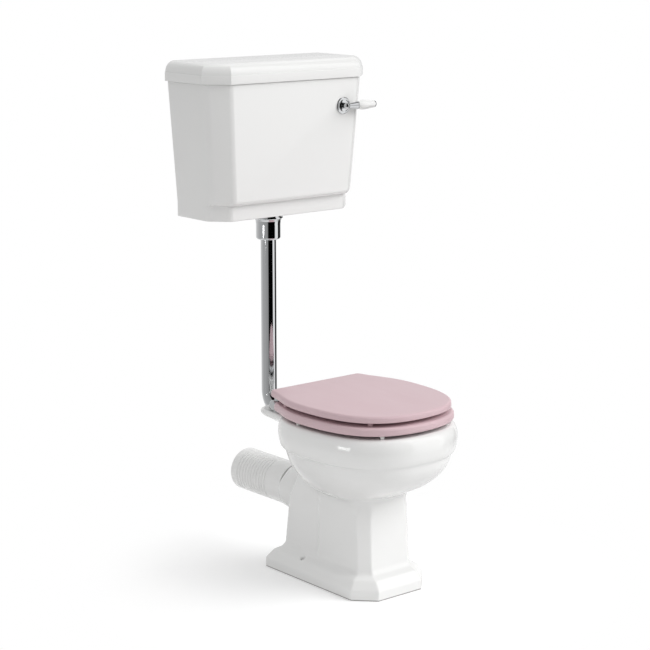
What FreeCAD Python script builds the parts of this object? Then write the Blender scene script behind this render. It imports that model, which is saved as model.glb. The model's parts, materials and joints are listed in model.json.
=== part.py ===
import FreeCAD, Part
import math
import os

from FreeCAD import Placement, Rotation, Vector

# Low level toilet: a floor-standing pan, a wall-hung cistern and the flush pipe between them.
# Sizes are in millimetres. X runs to the right of someone facing the toilet, Y to the wall, Z up.
# The origin is on the floor, under the middle of the plinth.

# Foot of the pan
plinth_width = 224.0
plinth_length = 366.0
plinth_corner = 46.0
plinth_back_corner = 3.0
plinth_band = 23.0
plinth_wall = 14.0
shoulder_height = 38.0
shoulder_profile = [(0.55, 0.42), (0.77, 0.85)]
shaft_width = 154.0
shaft_front = 136.0
shaft_back = 138.0
shaft_side_flare = 3.0
shaft_end_flare = 12.0
shaft_corner = 23.0
shaft_wall = 12.0
shaft_lean = 30.0
pilaster_back = 21.0
pilaster_step = 3.0
floor_hole_radius = 5.5
floor_hole_inset = 21.0
floor_hole_y = 62.0

# Bowl and rim: each profile row is a drop below the rim and the insets there
rim_height = 402.0
rim_half_width = 188.0
rim_front = 237.0
rim_rear = 180.0
rim_y = -36.0
rim_profile = [(0.0, 14.0), (3.0, 8.0), (12.0, 2.5), (37.0, 0.0), (54.0, 2.5), (63.0, 5.5), (68.0, 9.5)]
bowl_profile = [
    (62.0, 12.0, 9.0, 14.0),
    (82.0, 18.0, 13.0, 18.0),
    (102.0, 26.0, 21.0, 21.0),
    (122.0, 38.0, 38.0, 24.0),
    (142.0, 54.0, 63.0, 28.0),
    (162.0, 74.0, 101.0, 34.0),
    (177.0, 98.0, 129.0, 44.0),
    (190.0, 126.0, 157.0, 62.0),
]
egg_power = 2.58
egg_points = 48
rear_power = 2.2

# Inside of the bowl
mouth_inset = 60.0
mouth_front = 172.0
mouth_rear = 108.0
channel_width = 38.0
channel_depth = 40.0
bowl_depth = 206.0
inside_profile = [
    (64.0, 25.0, 22.0, 52.0, 0.0),
    (102.0, 39.0, 34.0, 80.0, 0.0),
    (140.0, 67.0, 75.0, 114.0, -6.0),
]
throat_flare = (172.0, 36.0, 24.0, 14.0)
throat_lap = 2.0
bowl_wall = 13.5

# Seat deck behind the rim
deck_half_width = 142.0
deck_rear = 224.0
deck_corner = 44.0
deck_profile = [(0.0, 4.0), (3.0, 0.7), (8.0, 0.0), (13.0, 3.0), (40.0, 45.0)]

# Trap and outlet
trap_y = -70.0
trap_radius = 38.0
trap_wall = 10.0
trap_bend = 52.0
trap_seal = 50.0
trap_rise = 46.0
outlet_height = 178.0
outlet_radius = 52.5
outlet_wall = 9.5
outlet_overrun = 14.0
outlet_step = 3.5
outlet_lead = 24.0
groove_count = 11
groove_pitch = 11.0
groove_width = 2.4
groove_depth = 1.0

# Flush pipe, its horn on the pan and the rubber cone between them
wall_gap = 201.0
pipe_standoff = 78.0
pipe_radius = 19.0
pipe_wall = 1.5
elbow_radius = 50.0
inlet_drop = 50.0
pan_split_z = 264.0
plinth_split_z = 48.0
horn_radius = 29.0
horn_bore = 22.0
horn_reach = 27.0
pipe_entry = 24.0
cone_wall = 4.0
cone_grip = 16.0
cone_taper = 28.0
rubber_clearance = 0.15

# Cistern body
cistern_base = 845.0
cistern_height = 323.0
cistern_band = 37.0
cistern_top_half = 236.0
cistern_foot_half = 213.0
cistern_top_depth = 189.5
cistern_foot_depth = 175.0
cistern_corner = 44.0
cistern_wall = 10.0
cistern_floor = 12.0
band_setback = 17.0
band_corner = 40.0
cistern_edge = 9.0
fixing_half_spacing = 150.0
fixing_drop = 62.0
fixing_radius = 5.0

# Cistern lid
lid_side_overhang = 8.0
lid_front_overhang = 4.5
lid_corner = 49.0
lid_skirt = 21.0
lid_ovolo = 26.0
lid_ledge = 1.5
lid_shell = 11.0
lid_lip = 11.0
lid_lip_wall = 7.0
lid_lip_clearance = 3.0
rest_gap = 0.2

# Coupling under the cistern
tail_radius = 23.9
tail_bore = 19.6
tail_reach = 48.0
back_nut_radius = 36.0
back_nut_neck = 33.0
back_nut_drop = 11.0
back_nut_height = 30.0
back_nut_flare = [(0.15, 0.5), (0.45, 0.17)]
coupling_radius = 30.0
coupling_height = 37.0
coupling_round = 6.0
thread_clearance = 0.2
pipe_insert = 18.0
seal_height = 6.0

# Siphon
siphon_offset = 72.0
siphon_tube = 22.0
siphon_wall = 3.0
bell_radius = 42.0
bell_height = 82.0
bell_cone = 26.0
bell_floor_gap = 15.0
siphon_neck = 36.0
siphon_flange = 34.0
siphon_flange_height = 6.0
siphon_washer_height = 3.0
siphon_washer_play = 0.5
guide_radius = 7.0
guide_height = 14.0
rod_radius = 3.0
rod_clearance = 0.1
plunger_height = 6.0
plunger_clearance = 1.0
plunger_rise = 10.0
diaphragm_height = 1.5
port_count = 6
port_place = 23.0
port_radius = 7.0

# Flush lever
lever_x = 146.0
lever_drop = 67.0
rosette_radius = 20.0
rosette_lip = 2.0
rosette_profile = [(3.0, 18.6), (3.4, 15.2), (4.6, 14.8), (5.4, 12.8), (6.0, 9.5)]
bush_radius = 8.0
bush_reach = 13.0
bush_clearance = 0.4
spindle_radius = 5.0
running_clearance = 0.05
lever_nut_radius = 14.0
lever_nut_height = 6.0
lever_washer_radius = 16.0
lever_washer_height = 3.0
hub_radius = 8.0
boss_radius = 6.8
lever_play = 0.2
arm_length = 34.0
arm_root_radius = 5.0
arm_end_radius = 9.4
ferrule_radius = 9.8
ferrule_length = 3.0
ferrule_bevel = 0.8
handle_length = 50.0
handle_belly = 11.8
handle_profile = [(0.0, 0.78), (0.15, 0.92), (0.38, 1.0), (0.7, 0.87), (1.0, 0.73)]
lever_cap_radius = 8.4
lever_cap_length = 6.0
lever_cap_round = 4.6
crank_height = 10.0
crank_thickness = 5.0
crank_hub_radius = 9.5
crank_hub_length = 12.0
crank_overhang = 10.0
crank_screw_radius = 2.5
crank_screw_length = 9.0
link_gap_above = 9.0
link_gap_below = 4.0
link_gap_side = 1.0
link_wall = 4.0

# Float valve on the right-hand side
valve_back_gap = 44.0
valve_drop = 92.0
valve_tail_radius = 10.4
valve_bore = 5.0
valve_tail_reach = 34.0
valve_thread_reach = 13.0
valve_relief_width = 2.5
valve_relief_depth = 1.0
valve_hole_clearance = 0.6
valve_washer_radius = 18.0
valve_washer_height = 3.0
valve_nut_radius = 16.0
valve_nut_height = 8.0
valve_body_radius = 13.0
valve_body_length = 52.0
piston_clearance = 0.1
piston_length = 16.0
ear_thickness = 4.0
ear_gap = 7.0
ear_drop = 20.0
ear_half_width = 9.0
ear_play = 0.6
pivot_radius = 2.5
float_reach = 66.0
float_radius = 22.0
float_height = 46.0
float_droop = 24.0
float_arm_radius = 3.0
float_eye_radius = 6.5

# Seat
ring_gap = 8.0
ring_thickness = 20.0
ring_half_width = 181.0
ring_front = 228.0
ring_hole_half_width = 114.0
ring_hole_front = 165.0
ring_hole_rear = 85.0
ring_round = 7.0
ring_hinge_gap = 2.0
lid_gap = 9.0
lid_thickness = 16.0
lid_step = 6.0
lid_rear = 166.0
lid_round = 6.5
lid_under_round = 3.0
seat_power = 6.0
ring_buffer_radius = 5.5
ring_buffer_places = [(98.0, -228.0), (164.0, -12.0)]
lid_buffer_radius = 7.0
lid_buffer_places = [(112.0, -203.0), (150.0, 50.0)]
buffer_taper = 0.8

# Seat hinge
hinge_setback = 6.0
hinge_rise = 15.0
bar_radius = 10.0
bar_half_length = 129.0
cap_radius = 12.0
cap_length = 5.0
cap_round = 3.0
sleeve_wall = 3.0
sleeve_width = 22.0
leaf_thickness = 3.5
leaf_reach = 70.0
ring_leaf_x = 45.0
lid_leaf_x = 110.0
riser_thickness = 12.0
post_x = 77.5
post_radius = 8.0
post_foot_radius = 15.0
post_foot_height = 3.5
stud_radius = 4.0
stud_length = 44.0
stud_hole_radius = 6.5
deck_thickness = 20.0
pocket_radius = 18.0
seat_washer_radius = 14.0
seat_washer_height = 3.0
seat_nut_radius = 11.0
seat_nut_height = 12.0
leaf_screw_radius = 2.0
leaf_screw_head = 4.0
leaf_screw_head_height = 1.5
leaf_screw_length = 9.0
leaf_screw_pitch = 24.0
leaf_screw_start = 32.0

# How near two heights count as one
level_tolerance = 0.01

# Places worked out from the sizes above
wall_y = plinth_length / 2.0 + wall_gap
pipe_y = wall_y - pipe_standoff
inlet_z = rim_height - inlet_drop
shoulder_top = plinth_band + shoulder_height
crest_z = outlet_height + trap_rise
throat_z = rim_height - bowl_depth + 4.0 * throat_lap
trap_low_z = crest_z - 2.0 * trap_radius - trap_seal
cistern_top = cistern_base + cistern_height
band_top = cistern_base + cistern_band
floor_inside = cistern_base + cistern_floor
deck_back = rim_y + deck_rear
horn_end = deck_back + horn_reach
lever_z = cistern_top - lever_drop
ring_bottom = rim_height + ring_gap
ring_top = ring_bottom + ring_thickness
lid_bottom = ring_top + lid_gap
lid_half_width = ring_half_width - lid_step
lid_front = ring_front - lid_step
hinge_y = rim_y + lid_rear - hinge_setback
hinge_z = rim_height + hinge_rise
sleeve_radius = bar_radius + sleeve_wall
ring_rear = hinge_y - sleeve_radius - ring_hinge_gap - rim_y
valve_y = wall_y - valve_back_gap
valve_z = cistern_top - valve_drop

up = Vector(0, 0, 1)
down = Vector(0, 0, -1)
rightward = Vector(1, 0, 0)
leftward = Vector(-1, 0, 0)
forward = Vector(0, -1, 0)
backward = Vector(0, 1, 0)


def cylinder(radius, length, base, direction):
    return Part.makeCylinder(radius, length, base, direction)


def tube(radius, bore, length, base, direction):
    return cylinder(radius, length, base, direction).cut(cylinder(bore, length, base, direction))


def block(low, high):
    size = high - low
    return Part.makeBox(size.x, size.y, size.z, low)


def placed(solid, base, direction):
    solid.Placement = Placement(base, Rotation(up, direction))
    return solid


def turned(profile, base, direction):
    # a solid of revolution from (distance along the axis, radius) corners
    points = [Vector(radius, 0, along) for along, radius in profile]
    face = Part.Face(Part.makePolygon(points + points[:1]))
    return placed(face.revolve(Vector(0, 0, 0), up, 360), base, direction)


def turned_curve(stations, base, direction):
    # a smooth solid of revolution through (distance along the axis, radius) stations
    points = [Vector(radius, 0, along) for along, radius in stations]
    side = Part.BSplineCurve()
    side.interpolate(points)
    start = Vector(0, 0, points[0].z)
    end = Vector(0, 0, points[-1].z)
    edges = [side.toShape(), Part.makeLine(points[-1], end), Part.makeLine(end, start)]
    edges.append(Part.makeLine(start, points[0]))
    face = Part.Face(Part.Wire(edges))
    return placed(face.revolve(Vector(0, 0, 0), up, 360), base, direction)


def outline(half_width, front, back, front_cut, back_cut, z):
    # a rectangle in plan with its front and back corners cut at 45 degrees
    right = [
        Vector(half_width, back - back_cut, z),
        Vector(half_width, front + front_cut, z),
        Vector(half_width - front_cut, front, z),
    ]
    left = [Vector(-point.x, point.y, z) for point in reversed(right)]
    back_right = Vector(half_width - back_cut, back, z)
    back_left = Vector(back_cut - half_width, back, z)
    if back_cut == 0.0:
        return right + left
    return [back_right] + right + left + [back_left]


def between(first, second, share, z):
    middle = [a + (b - a) * share for a, b in zip(first, second)]
    return [Vector(point.x, point.y, z) for point in middle]


def loft_outlines(outlines, ruled=True):
    wires = [Part.makePolygon(points + points[:1]) for points in outlines]
    return Part.makeLoft(wires, True, ruled)


def egg(half_width, front, rear, z, centre_y=rim_y, front_power=egg_power, back_power=rear_power):
    # a smooth closed outline: a superellipse in front of its widest line and another behind it
    points = []
    for step in range(egg_points):
        angle = 2.0 * math.pi * step / egg_points
        cosine = math.cos(angle)
        sine = math.sin(angle)
        length = rear if sine > 0 else front
        power = back_power if sine > 0 else front_power
        total = abs(cosine / half_width) ** power + abs(sine / length) ** power
        reach = total ** (-1.0 / power)
        points.append(Vector(reach * cosine, centre_y + reach * sine, z))
    curve = Part.BSplineCurve()
    curve.interpolate(points, PeriodicFlag=True)
    return Part.Wire(curve.toShape())


def egg_prism(wire, height):
    return Part.Face(wire).extrude(Vector(0, 0, height))


def edges_at(solid, z):
    # the edges of a solid that lie level at one height
    level = [e for e in solid.Edges if e.BoundBox.ZLength < level_tolerance]
    return [e for e in level if abs(e.BoundBox.ZMin - z) < level_tolerance]


def mirrored_pair(make):
    return Part.makeCompound([make(1.0), make(-1.0)])


# Pan


def shaft_outline(half_width, side_flare, end_flare, front_only, z):
    half = half_width + side_flare
    front = -(shaft_front + end_flare)
    back = pilaster_back if front_only else shaft_back + end_flare
    return outline(half, front, back, shaft_corner, plinth_back_corner, z)


def pan_foot():
    half = plinth_width / 2.0
    end = plinth_length / 2.0
    plinth = outline(half, -end, end, plinth_corner, plinth_back_corner, 0.0)
    foot = shaft_outline(shaft_width / 2.0, shaft_side_flare, shaft_end_flare, False, shoulder_top)
    levels = [plinth, between(plinth, foot, 0.0, plinth_band)]
    for rise, share in shoulder_profile:
        levels.append(between(plinth, foot, share, plinth_band + rise * shoulder_height))
    levels.append(foot)
    return loft_outlines(levels)


def pan_shaft():
    half = shaft_width / 2.0
    front_top = rim_height - bowl_profile[4][0]
    rear_mid = outlet_height
    front = loft_outlines([
        shaft_outline(half, shaft_side_flare, shaft_end_flare, True, shoulder_top),
        shaft_outline(half, 0.0, 0.0, True, front_top),
    ])
    rear_half = half - pilaster_step
    rear = loft_outlines([
        shaft_outline(rear_half, shaft_side_flare, shaft_end_flare, False, shoulder_top),
        shaft_outline(rear_half, 0.0, 0.0, False, rear_mid),
        shaft_outline(rear_half, 0.0, -shaft_lean, False, front_top),
    ])
    keep = block(Vector(-half * 2, pilaster_back - 1.0, 0), Vector(half * 2, wall_y, rim_height))
    return front.fuse(rear.common(keep))


def rim_egg(drop, side, front, rear):
    return egg(rim_half_width - side, rim_front - front, rim_rear - rear, rim_height - drop)


def bowl_band():
    return Part.makeLoft([rim_egg(drop, inset, inset, inset) for drop, inset in rim_profile], True)


def bowl_under():
    return Part.makeLoft([rim_egg(*row) for row in bowl_profile], True)


def deck_wire(half_width, front, back, z):
    # a rectangle in plan with its two rear corners rounded
    lean = deck_corner * (1.0 - math.sqrt(0.5))
    side_end = Vector(half_width, back - deck_corner, z)
    corner_mid = Vector(half_width - lean, back - lean, z)
    back_end = Vector(half_width - deck_corner, back, z)
    right = Vector(half_width, front, z)
    points = [right, side_end, corner_mid, back_end]
    left, left_side, left_mid, left_back = [Vector(-point.x, point.y, z) for point in points]
    return Part.Wire([
        Part.LineSegment(right, side_end).toShape(),
        Part.Arc(side_end, corner_mid, back_end).toShape(),
        Part.LineSegment(back_end, left_back).toShape(),
        Part.Arc(left_back, left_mid, left_side).toShape(),
        Part.LineSegment(left_side, left).toShape(),
        Part.LineSegment(left, right).toShape(),
    ])


def seat_deck():
    wires = []
    for drop, inset in deck_profile:
        wires.append(deck_wire(deck_half_width - inset, rim_y, deck_back - inset, rim_height - drop))
    return Part.makeLoft(wires, True, True)


def trap_centre_line():
    # down the throat, round under the seal, up to the crest and down again to the outlet
    rise = math.radians(60.0)
    fall = math.radians(45.0)
    bend_y = trap_y + trap_bend
    bend_z = trap_low_z + trap_bend
    throat = Vector(0, trap_y, throat_z)
    turn_in = Vector(0, trap_y, bend_z)
    turn_low = Vector(0, bend_y, trap_low_z)
    turn_out = Vector(0, bend_y + trap_bend * math.sin(rise), bend_z - trap_bend * math.cos(rise))
    climb_z = crest_z - trap_bend * (1.0 - math.cos(rise))
    climb_y = turn_out.y + (climb_z - turn_out.z) / math.tan(rise)
    climb = Vector(0, climb_y, climb_z)
    crest = Vector(0, climb_y + trap_bend * math.sin(rise), crest_z)
    half_rise = rise / 2.0
    climb_mid = Vector(
        0, crest.y - trap_bend * math.sin(half_rise), crest_z - trap_bend * (1.0 - math.cos(half_rise))
    )
    arc_drop = trap_bend * (1.0 - math.cos(fall))
    arc_run = trap_bend * math.sin(fall)
    half_drop = trap_bend * (1.0 - math.cos(fall / 2.0))
    half_run = trap_bend * math.sin(fall / 2.0)
    slope_drop = trap_rise - 2.0 * arc_drop
    over = Vector(0, crest.y + arc_run, crest_z - arc_drop)
    over_mid = Vector(0, crest.y + half_run, crest_z - half_drop)
    foot = Vector(0, over.y + slope_drop / math.tan(fall), over.z - slope_drop)
    level = Vector(0, foot.y + arc_run, outlet_height)
    level_mid = Vector(0, level.y - half_run, outlet_height + half_drop)
    edges = [
        Part.LineSegment(throat, turn_in).toShape(),
        Part.Arc(turn_in, turn_low, turn_out).toShape(),
        Part.LineSegment(turn_out, climb).toShape(),
        Part.Arc(climb, climb_mid, crest).toShape(),
        Part.Arc(crest, over_mid, over).toShape(),
        Part.LineSegment(over, foot).toShape(),
        Part.Arc(foot, level_mid, level).toShape(),
    ]
    return Part.Wire(edges), level.y


def swept_round(path, radius, start, direction):
    profile = Part.Wire(Part.makeCircle(radius, start, direction))
    return path.makePipeShell([profile], True, False)


def outlet_outside(start_y):
    end_y = wall_y + outlet_overrun
    body_start = Vector(0, start_y / 2.0, outlet_height)
    body = cylinder(outlet_radius + outlet_step, start_y - body_start.y, body_start, backward)
    spigot = cylinder(outlet_radius, end_y - start_y, Vector(0, start_y, outlet_height), backward)
    for number in range(groove_count):
        groove_y = end_y - outlet_lead - number * groove_pitch
        base = Vector(0, groove_y, outlet_height)
        groove = tube(outlet_radius + 1.0, outlet_radius - groove_depth, groove_width, base, forward)
        spigot = spigot.cut(groove)
    return body.fuse(spigot)


def bowl_hollow(wall):
    # the bowl from under its rim down to the throat, drawn out by a wall
    wires = []
    for drop, side, front, rear, shift in inside_profile:
        half = rim_half_width - side + wall
        wires.append(
            egg(half, rim_front - front + wall, rim_rear - rear + wall, rim_height - drop, rim_y + shift)
        )
    drop, side, front, rear = throat_flare
    flare = trap_radius + wall
    wires.append(egg(flare + side, flare + front, flare + rear, rim_height - drop, trap_y))
    neck = flare - throat_lap
    wires.append(egg(neck, neck, neck, rim_height - bowl_depth, trap_y, 2.0, 2.0))
    return Part.makeLoft(wires, True)


def bowl_inside():
    ledge = inside_profile[0][0]
    mouth_half = rim_half_width - mouth_inset
    mouth = egg_prism(egg(mouth_half, mouth_front, mouth_rear, rim_height - ledge), ledge + 1.0)
    channel_wire = egg(
        mouth_half + channel_width,
        mouth_front + channel_width,
        mouth_rear + channel_width / 2.0,
        rim_height - ledge,
    )
    return mouth.fuse([egg_prism(channel_wire, channel_depth), bowl_hollow(0.0)])


def foot_hollow():
    half = shaft_width / 2.0 - shaft_wall
    front = shaft_wall - shaft_front
    back = shaft_back - shaft_wall
    corner = shaft_corner
    top = rim_height - throat_flare[0]
    shaft = loft_outlines([
        outline(half, front, back, corner, plinth_back_corner, -1.0),
        outline(half, front, back, corner, plinth_back_corner, outlet_height),
        outline(half, front, back - shaft_lean, corner, plinth_back_corner, top),
    ])
    wide = plinth_width / 2.0 - plinth_wall
    end = plinth_length / 2.0 - plinth_wall
    base = loft_outlines([
        outline(wide, -end, end, plinth_corner, plinth_back_corner, -1.0),
        outline(wide, -end, end, plinth_corner, plinth_back_corner, plinth_band / 3.0),
        outline(half, front, back, corner, plinth_back_corner, plinth_band + plinth_wall),
    ])
    skin = []
    for drop, side, front_inset, rear in bowl_profile:
        if drop > inside_profile[0][0] + bowl_wall:
            skin.append(rim_egg(drop, side + bowl_wall, front_inset + bowl_wall, rear + bowl_wall))
    return shaft.fuse([base, Part.makeLoft(skin, True)])


def make_pan():
    # one fired piece, given as its bowl, foot, plinth and outlet, which meet on flat joints
    path, outlet_y = trap_centre_line()
    throat = Vector(0, trap_y, throat_z)
    trap = swept_round(path, trap_radius + trap_wall, throat, down)
    trap_bore = swept_round(path, trap_radius, throat, down)
    outlet = outlet_outside(outlet_y)
    outlet_bore = cylinder(
        outlet_radius - outlet_wall,
        wall_y + outlet_overrun - outlet_y + 1.0,
        Vector(0, outlet_y, outlet_height),
        backward,
    )
    hollow = foot_hollow().cut([bowl_hollow(bowl_wall), trap, outlet])
    inside = bowl_inside()
    reach = plinth_length * 2.0
    above = block(Vector(-reach, -reach, pan_split_z), Vector(reach, reach, 2.0 * rim_height))
    below = block(Vector(-reach, -reach, plinth_split_z), Vector(reach, outlet_y, pan_split_z))
    base = block(Vector(-reach, -reach, -1.0), Vector(reach, reach, plinth_split_z))
    behind = block(Vector(-reach, outlet_y, -1.0), Vector(reach, reach, pan_split_z))
    horn_length = horn_end - rim_y
    horn = cylinder(horn_radius, horn_length / 2.0, Vector(0, horn_end, inlet_z), forward)
    inlet_reach = horn_end - rim_y - mouth_rear + channel_width
    inlet = cylinder(horn_bore, inlet_reach, Vector(0, horn_end, inlet_z), forward)
    bowl_cuts = [hollow, inside, trap_bore, inlet]
    foot_cuts = [hollow, inside, trap_bore, outlet_bore]
    for side in (1.0, -1.0):
        stud = Vector(side * post_x, hinge_y, rim_height + 1.0)
        bowl_cuts.append(cylinder(stud_hole_radius, deck_thickness + 2.0, stud, down))
        pocket = cylinder(
            pocket_radius,
            bowl_depth / 2.0,
            Vector(side * post_x, hinge_y, rim_height - deck_thickness),
            down,
        )
        bowl_cuts.append(pocket)
        foot_cuts.append(pocket)
        hole = Vector(side * (plinth_width / 2.0 - floor_hole_inset), floor_hole_y, -1.0)
        foot_cuts.append(cylinder(floor_hole_radius, shoulder_top + 1.0, hole, up))
    under = bowl_under()
    plinth = pan_foot()
    bowl = bowl_band().fuse([seat_deck(), horn, under.common(above), trap.common(above)])
    foot = plinth.common(below).fuse([solid.common(below) for solid in (pan_shaft(), under, trap, outlet)])
    return {
        "pan": bowl.cut(bowl_cuts).removeSplitter(),
        "pan_foot": foot.cut(foot_cuts).removeSplitter(),
        "pan_plinth": plinth.common(base).cut(foot_cuts),
        "pan_outlet": outlet.common(behind).cut(outlet_bore),
    }


# Flush pipe


def pipe_line(top_z):
    # from the tail of the siphon down, round the elbow and forward into the horn
    top = Vector(0, pipe_y, top_z)
    bend_top = Vector(0, pipe_y, inlet_z + elbow_radius)
    lean = elbow_radius * (1.0 - math.cos(math.radians(45.0)))
    bend_mid = Vector(0, pipe_y - lean, inlet_z + lean)
    bend_end = Vector(0, pipe_y - elbow_radius, inlet_z)
    end = Vector(0, horn_end - pipe_entry, inlet_z)
    edges = [
        Part.LineSegment(top, bend_top).toShape(),
        Part.Arc(bend_top, bend_mid, bend_end).toShape(),
        Part.LineSegment(bend_end, end).toShape(),
    ]
    return Part.Wire(edges), top


def make_flush_pipe():
    path, top = pipe_line(cistern_base - tail_reach + pipe_insert)
    outside = swept_round(path, pipe_radius, top, down)
    return outside.cut(swept_round(path, pipe_radius - pipe_wall, top, down))


def make_flush_cone():
    grip = horn_radius + rubber_clearance
    neck = pipe_radius + rubber_clearance
    profile = [
        (-cone_grip, grip),
        (-cone_grip, grip + cone_wall),
        (cone_wall, grip + cone_wall),
        (cone_taper, neck + cone_wall),
        (cone_taper, neck),
        (rubber_clearance, neck),
        (rubber_clearance, grip),
    ]
    return turned(profile, Vector(0, horn_end, inlet_z), backward)


# Cistern


def cistern_half(z):
    share = (z - band_top) / (cistern_top - band_top)
    return cistern_foot_half + (cistern_top_half - cistern_foot_half) * share


def cistern_front(z):
    share = (z - band_top) / (cistern_top - band_top)
    return wall_y - cistern_foot_depth - (cistern_top_depth - cistern_foot_depth) * share


def front_uprights(solid):
    # the standing edges of a solid, apart from those against the wall
    return [e for e in solid.Edges if e.BoundBox.ZLength > 1.0 and e.BoundBox.YMax < wall_y - 1.0]


def cistern_outside():
    back = wall_y + cistern_wall
    levels = []
    for z in (band_top, cistern_top):
        levels.append(outline(cistern_half(z), cistern_front(z), back, cistern_corner, 0.0, z))
    upper = loft_outlines(levels)
    corner_y = cistern_front(band_top) + cistern_corner + 1.0
    lower = [e for e in edges_at(upper, band_top) if e.BoundBox.YMax < corner_y]
    upper = upper.makeFillet(cistern_edge, front_uprights(upper) + lower)
    band_half = cistern_half(band_top)
    front = cistern_front(band_top) + band_setback
    band = loft_outlines([
        outline(band_half, front, back, band_corner, 0.0, cistern_base),
        outline(band_half, front, back, band_corner, 0.0, band_top + cistern_edge),
    ])
    band = band.makeFillet(cistern_edge, front_uprights(band))
    behind = block(
        Vector(-cistern_top_half - 1.0, wall_y, cistern_base - 1.0),
        Vector(cistern_top_half + 1.0, back + 1.0, cistern_top + 1.0),
    )
    return upper.fuse(band).cut(behind).removeSplitter()


def cistern_inside(clearance, low_z, high_z):
    # the outline of the hollow at two heights, drawn in by a clearance
    levels = []
    for z in (low_z, high_z):
        half = cistern_half(max(z, band_top)) - cistern_wall - clearance
        front = cistern_front(z) + cistern_wall + clearance
        if z < band_top:
            front = cistern_front(band_top) + band_setback + cistern_wall + clearance
        back = wall_y - cistern_wall - clearance
        levels.append(outline(half, front, back, cistern_corner - cistern_wall / 2.0, 0.0, z))
    return loft_outlines(levels)


def make_cistern_body(outside):
    hollow = cistern_inside(0.0, floor_inside, cistern_top + 1.0)
    outlet = Vector(0, pipe_y, cistern_base - 1.0)
    cuts = [hollow, cylinder(tail_radius + 1.0, cistern_floor + 2.0, outlet, up)]
    lever = Vector(lever_x, cistern_front(lever_z) - cistern_wall, lever_z)
    cuts.append(cylinder(bush_radius + bush_clearance, 3.0 * cistern_wall, lever, backward))
    inlet = Vector(cistern_half(valve_z) - 2.0 * cistern_wall, valve_y, valve_z)
    cuts.append(cylinder(valve_tail_radius + valve_hole_clearance, 4.0 * cistern_wall, inlet, rightward))
    for side in (1.0, -1.0):
        fixing = Vector(side * fixing_half_spacing, wall_y + 1.0, cistern_top - fixing_drop)
        cuts.append(cylinder(fixing_radius, cistern_wall + 2.0, fixing, forward))
    return outside.cut(cuts)


def lid_outline(inset, z):
    half = cistern_half(cistern_top) + lid_side_overhang - inset
    front = cistern_front(cistern_top) - lid_front_overhang + inset
    corner = lid_corner - inset * (2.0 - math.sqrt(2.0))
    return outline(half, front, wall_y, corner, 0.0, z)


def make_cistern_lid():
    base = cistern_top + rest_gap
    skirt_top = base + lid_skirt
    skirt = loft_outlines([lid_outline(0.0, base), lid_outline(0.0, skirt_top)])
    levels = []
    for step in range(5):
        angle = math.radians(22.5 * step)
        inset = lid_ledge + lid_ovolo * (1.0 - math.cos(angle))
        levels.append(lid_outline(inset, skirt_top + lid_ovolo * math.sin(angle)))
    crown = loft_outlines(levels, False)
    hollow_top = skirt_top + lid_ovolo - lid_shell
    hollow = loft_outlines([lid_outline(lid_ovolo, base - 1.0), lid_outline(lid_ovolo + 1.0, hollow_top)])
    back_wall = block(
        Vector(-cistern_top_half, wall_y - cistern_wall - lid_lip_clearance, base - 1.0),
        Vector(cistern_top_half, wall_y, hollow_top),
    )
    shell = skirt.fuse(crown).cut(hollow.cut(back_wall))
    lip_low = base - lid_lip
    lip = cistern_inside(lid_lip_clearance, lip_low, base)
    lip = lip.cut(cistern_inside(lid_lip_clearance + lid_lip_wall, lip_low - 1.0, base + 1.0))
    collar = cistern_inside(lid_lip_clearance, base, hollow_top)
    collar = collar.cut(cistern_inside(lid_lip_clearance + lid_lip_wall, base - 1.0, hollow_top + 1.0))
    return shell.fuse([lip, collar.common(hollow)]).removeSplitter()


# Siphon and what lifts in it


def make_siphon_body():
    tail_low = cistern_base - tail_reach
    axis = Vector(0, pipe_y, tail_low)
    bell_low = floor_inside + bell_floor_gap
    bell_top = bell_low + bell_height
    bend_z = bell_top + bell_cone + siphon_neck
    leg_top = Vector(0, pipe_y, bend_z)
    crown = Vector(siphon_offset / 2.0, pipe_y, bend_z + siphon_offset / 2.0)
    neck = Vector(siphon_offset, pipe_y, bend_z)
    neck_low = Vector(siphon_offset, pipe_y, bell_top + bell_cone)
    leg_low = Vector(0, pipe_y, floor_inside + siphon_washer_height)
    line = Part.Wire([
        Part.LineSegment(leg_low, leg_top).toShape(),
        Part.Arc(leg_top, crown, neck).toShape(),
        Part.LineSegment(neck, neck_low).toShape(),
    ])
    outside = swept_round(line, siphon_tube, leg_low, up)
    inside = swept_round(line, siphon_tube - siphon_wall, leg_low, up)
    bell_base = Vector(siphon_offset, pipe_y, bell_low)
    bell_profile = [(0.0, bell_radius), (bell_height, bell_radius), (bell_height + bell_cone, siphon_tube)]
    bell = turned([(0.0, 0.0)] + bell_profile + [(bell_height + bell_cone, 0.0)], bell_base, up)
    inner_profile = [(along, radius - siphon_wall) for along, radius in bell_profile]
    bell_hollow = turned([(0.0, 0.0)] + inner_profile + [(bell_height + bell_cone, 0.0)], bell_base, up)
    tail = cylinder(tail_radius, leg_low.z - tail_low + siphon_flange_height, axis, up)
    tail_hollow = cylinder(tail_bore, leg_low.z - tail_low + siphon_flange_height, axis, up)
    flange = cylinder(siphon_flange, siphon_flange_height, leg_low, up)
    outer_bend = siphon_offset / 2.0 + siphon_tube
    exit_z = bend_z + math.sqrt(outer_bend ** 2 - (siphon_offset / 2.0) ** 2)
    guide_base = Vector(siphon_offset, pipe_y, exit_z - guide_height)
    guide = cylinder(guide_radius, 2.0 * guide_height, guide_base, up)
    rod_hole = cylinder(rod_radius + rod_clearance, 3.0 * guide_height, guide_base, up)
    solid = outside.fuse([bell, tail, flange])
    solid = solid.cut([inside, bell_hollow, tail_hollow])
    return solid.fuse(guide).cut(rod_hole).removeSplitter()


def make_siphon_washer():
    hole = tail_radius + siphon_washer_play
    return tube(siphon_flange, hole, siphon_washer_height, Vector(0, pipe_y, floor_inside), up)


def plunger_base():
    return Vector(siphon_offset, pipe_y, floor_inside + bell_floor_gap + plunger_rise)


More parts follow.
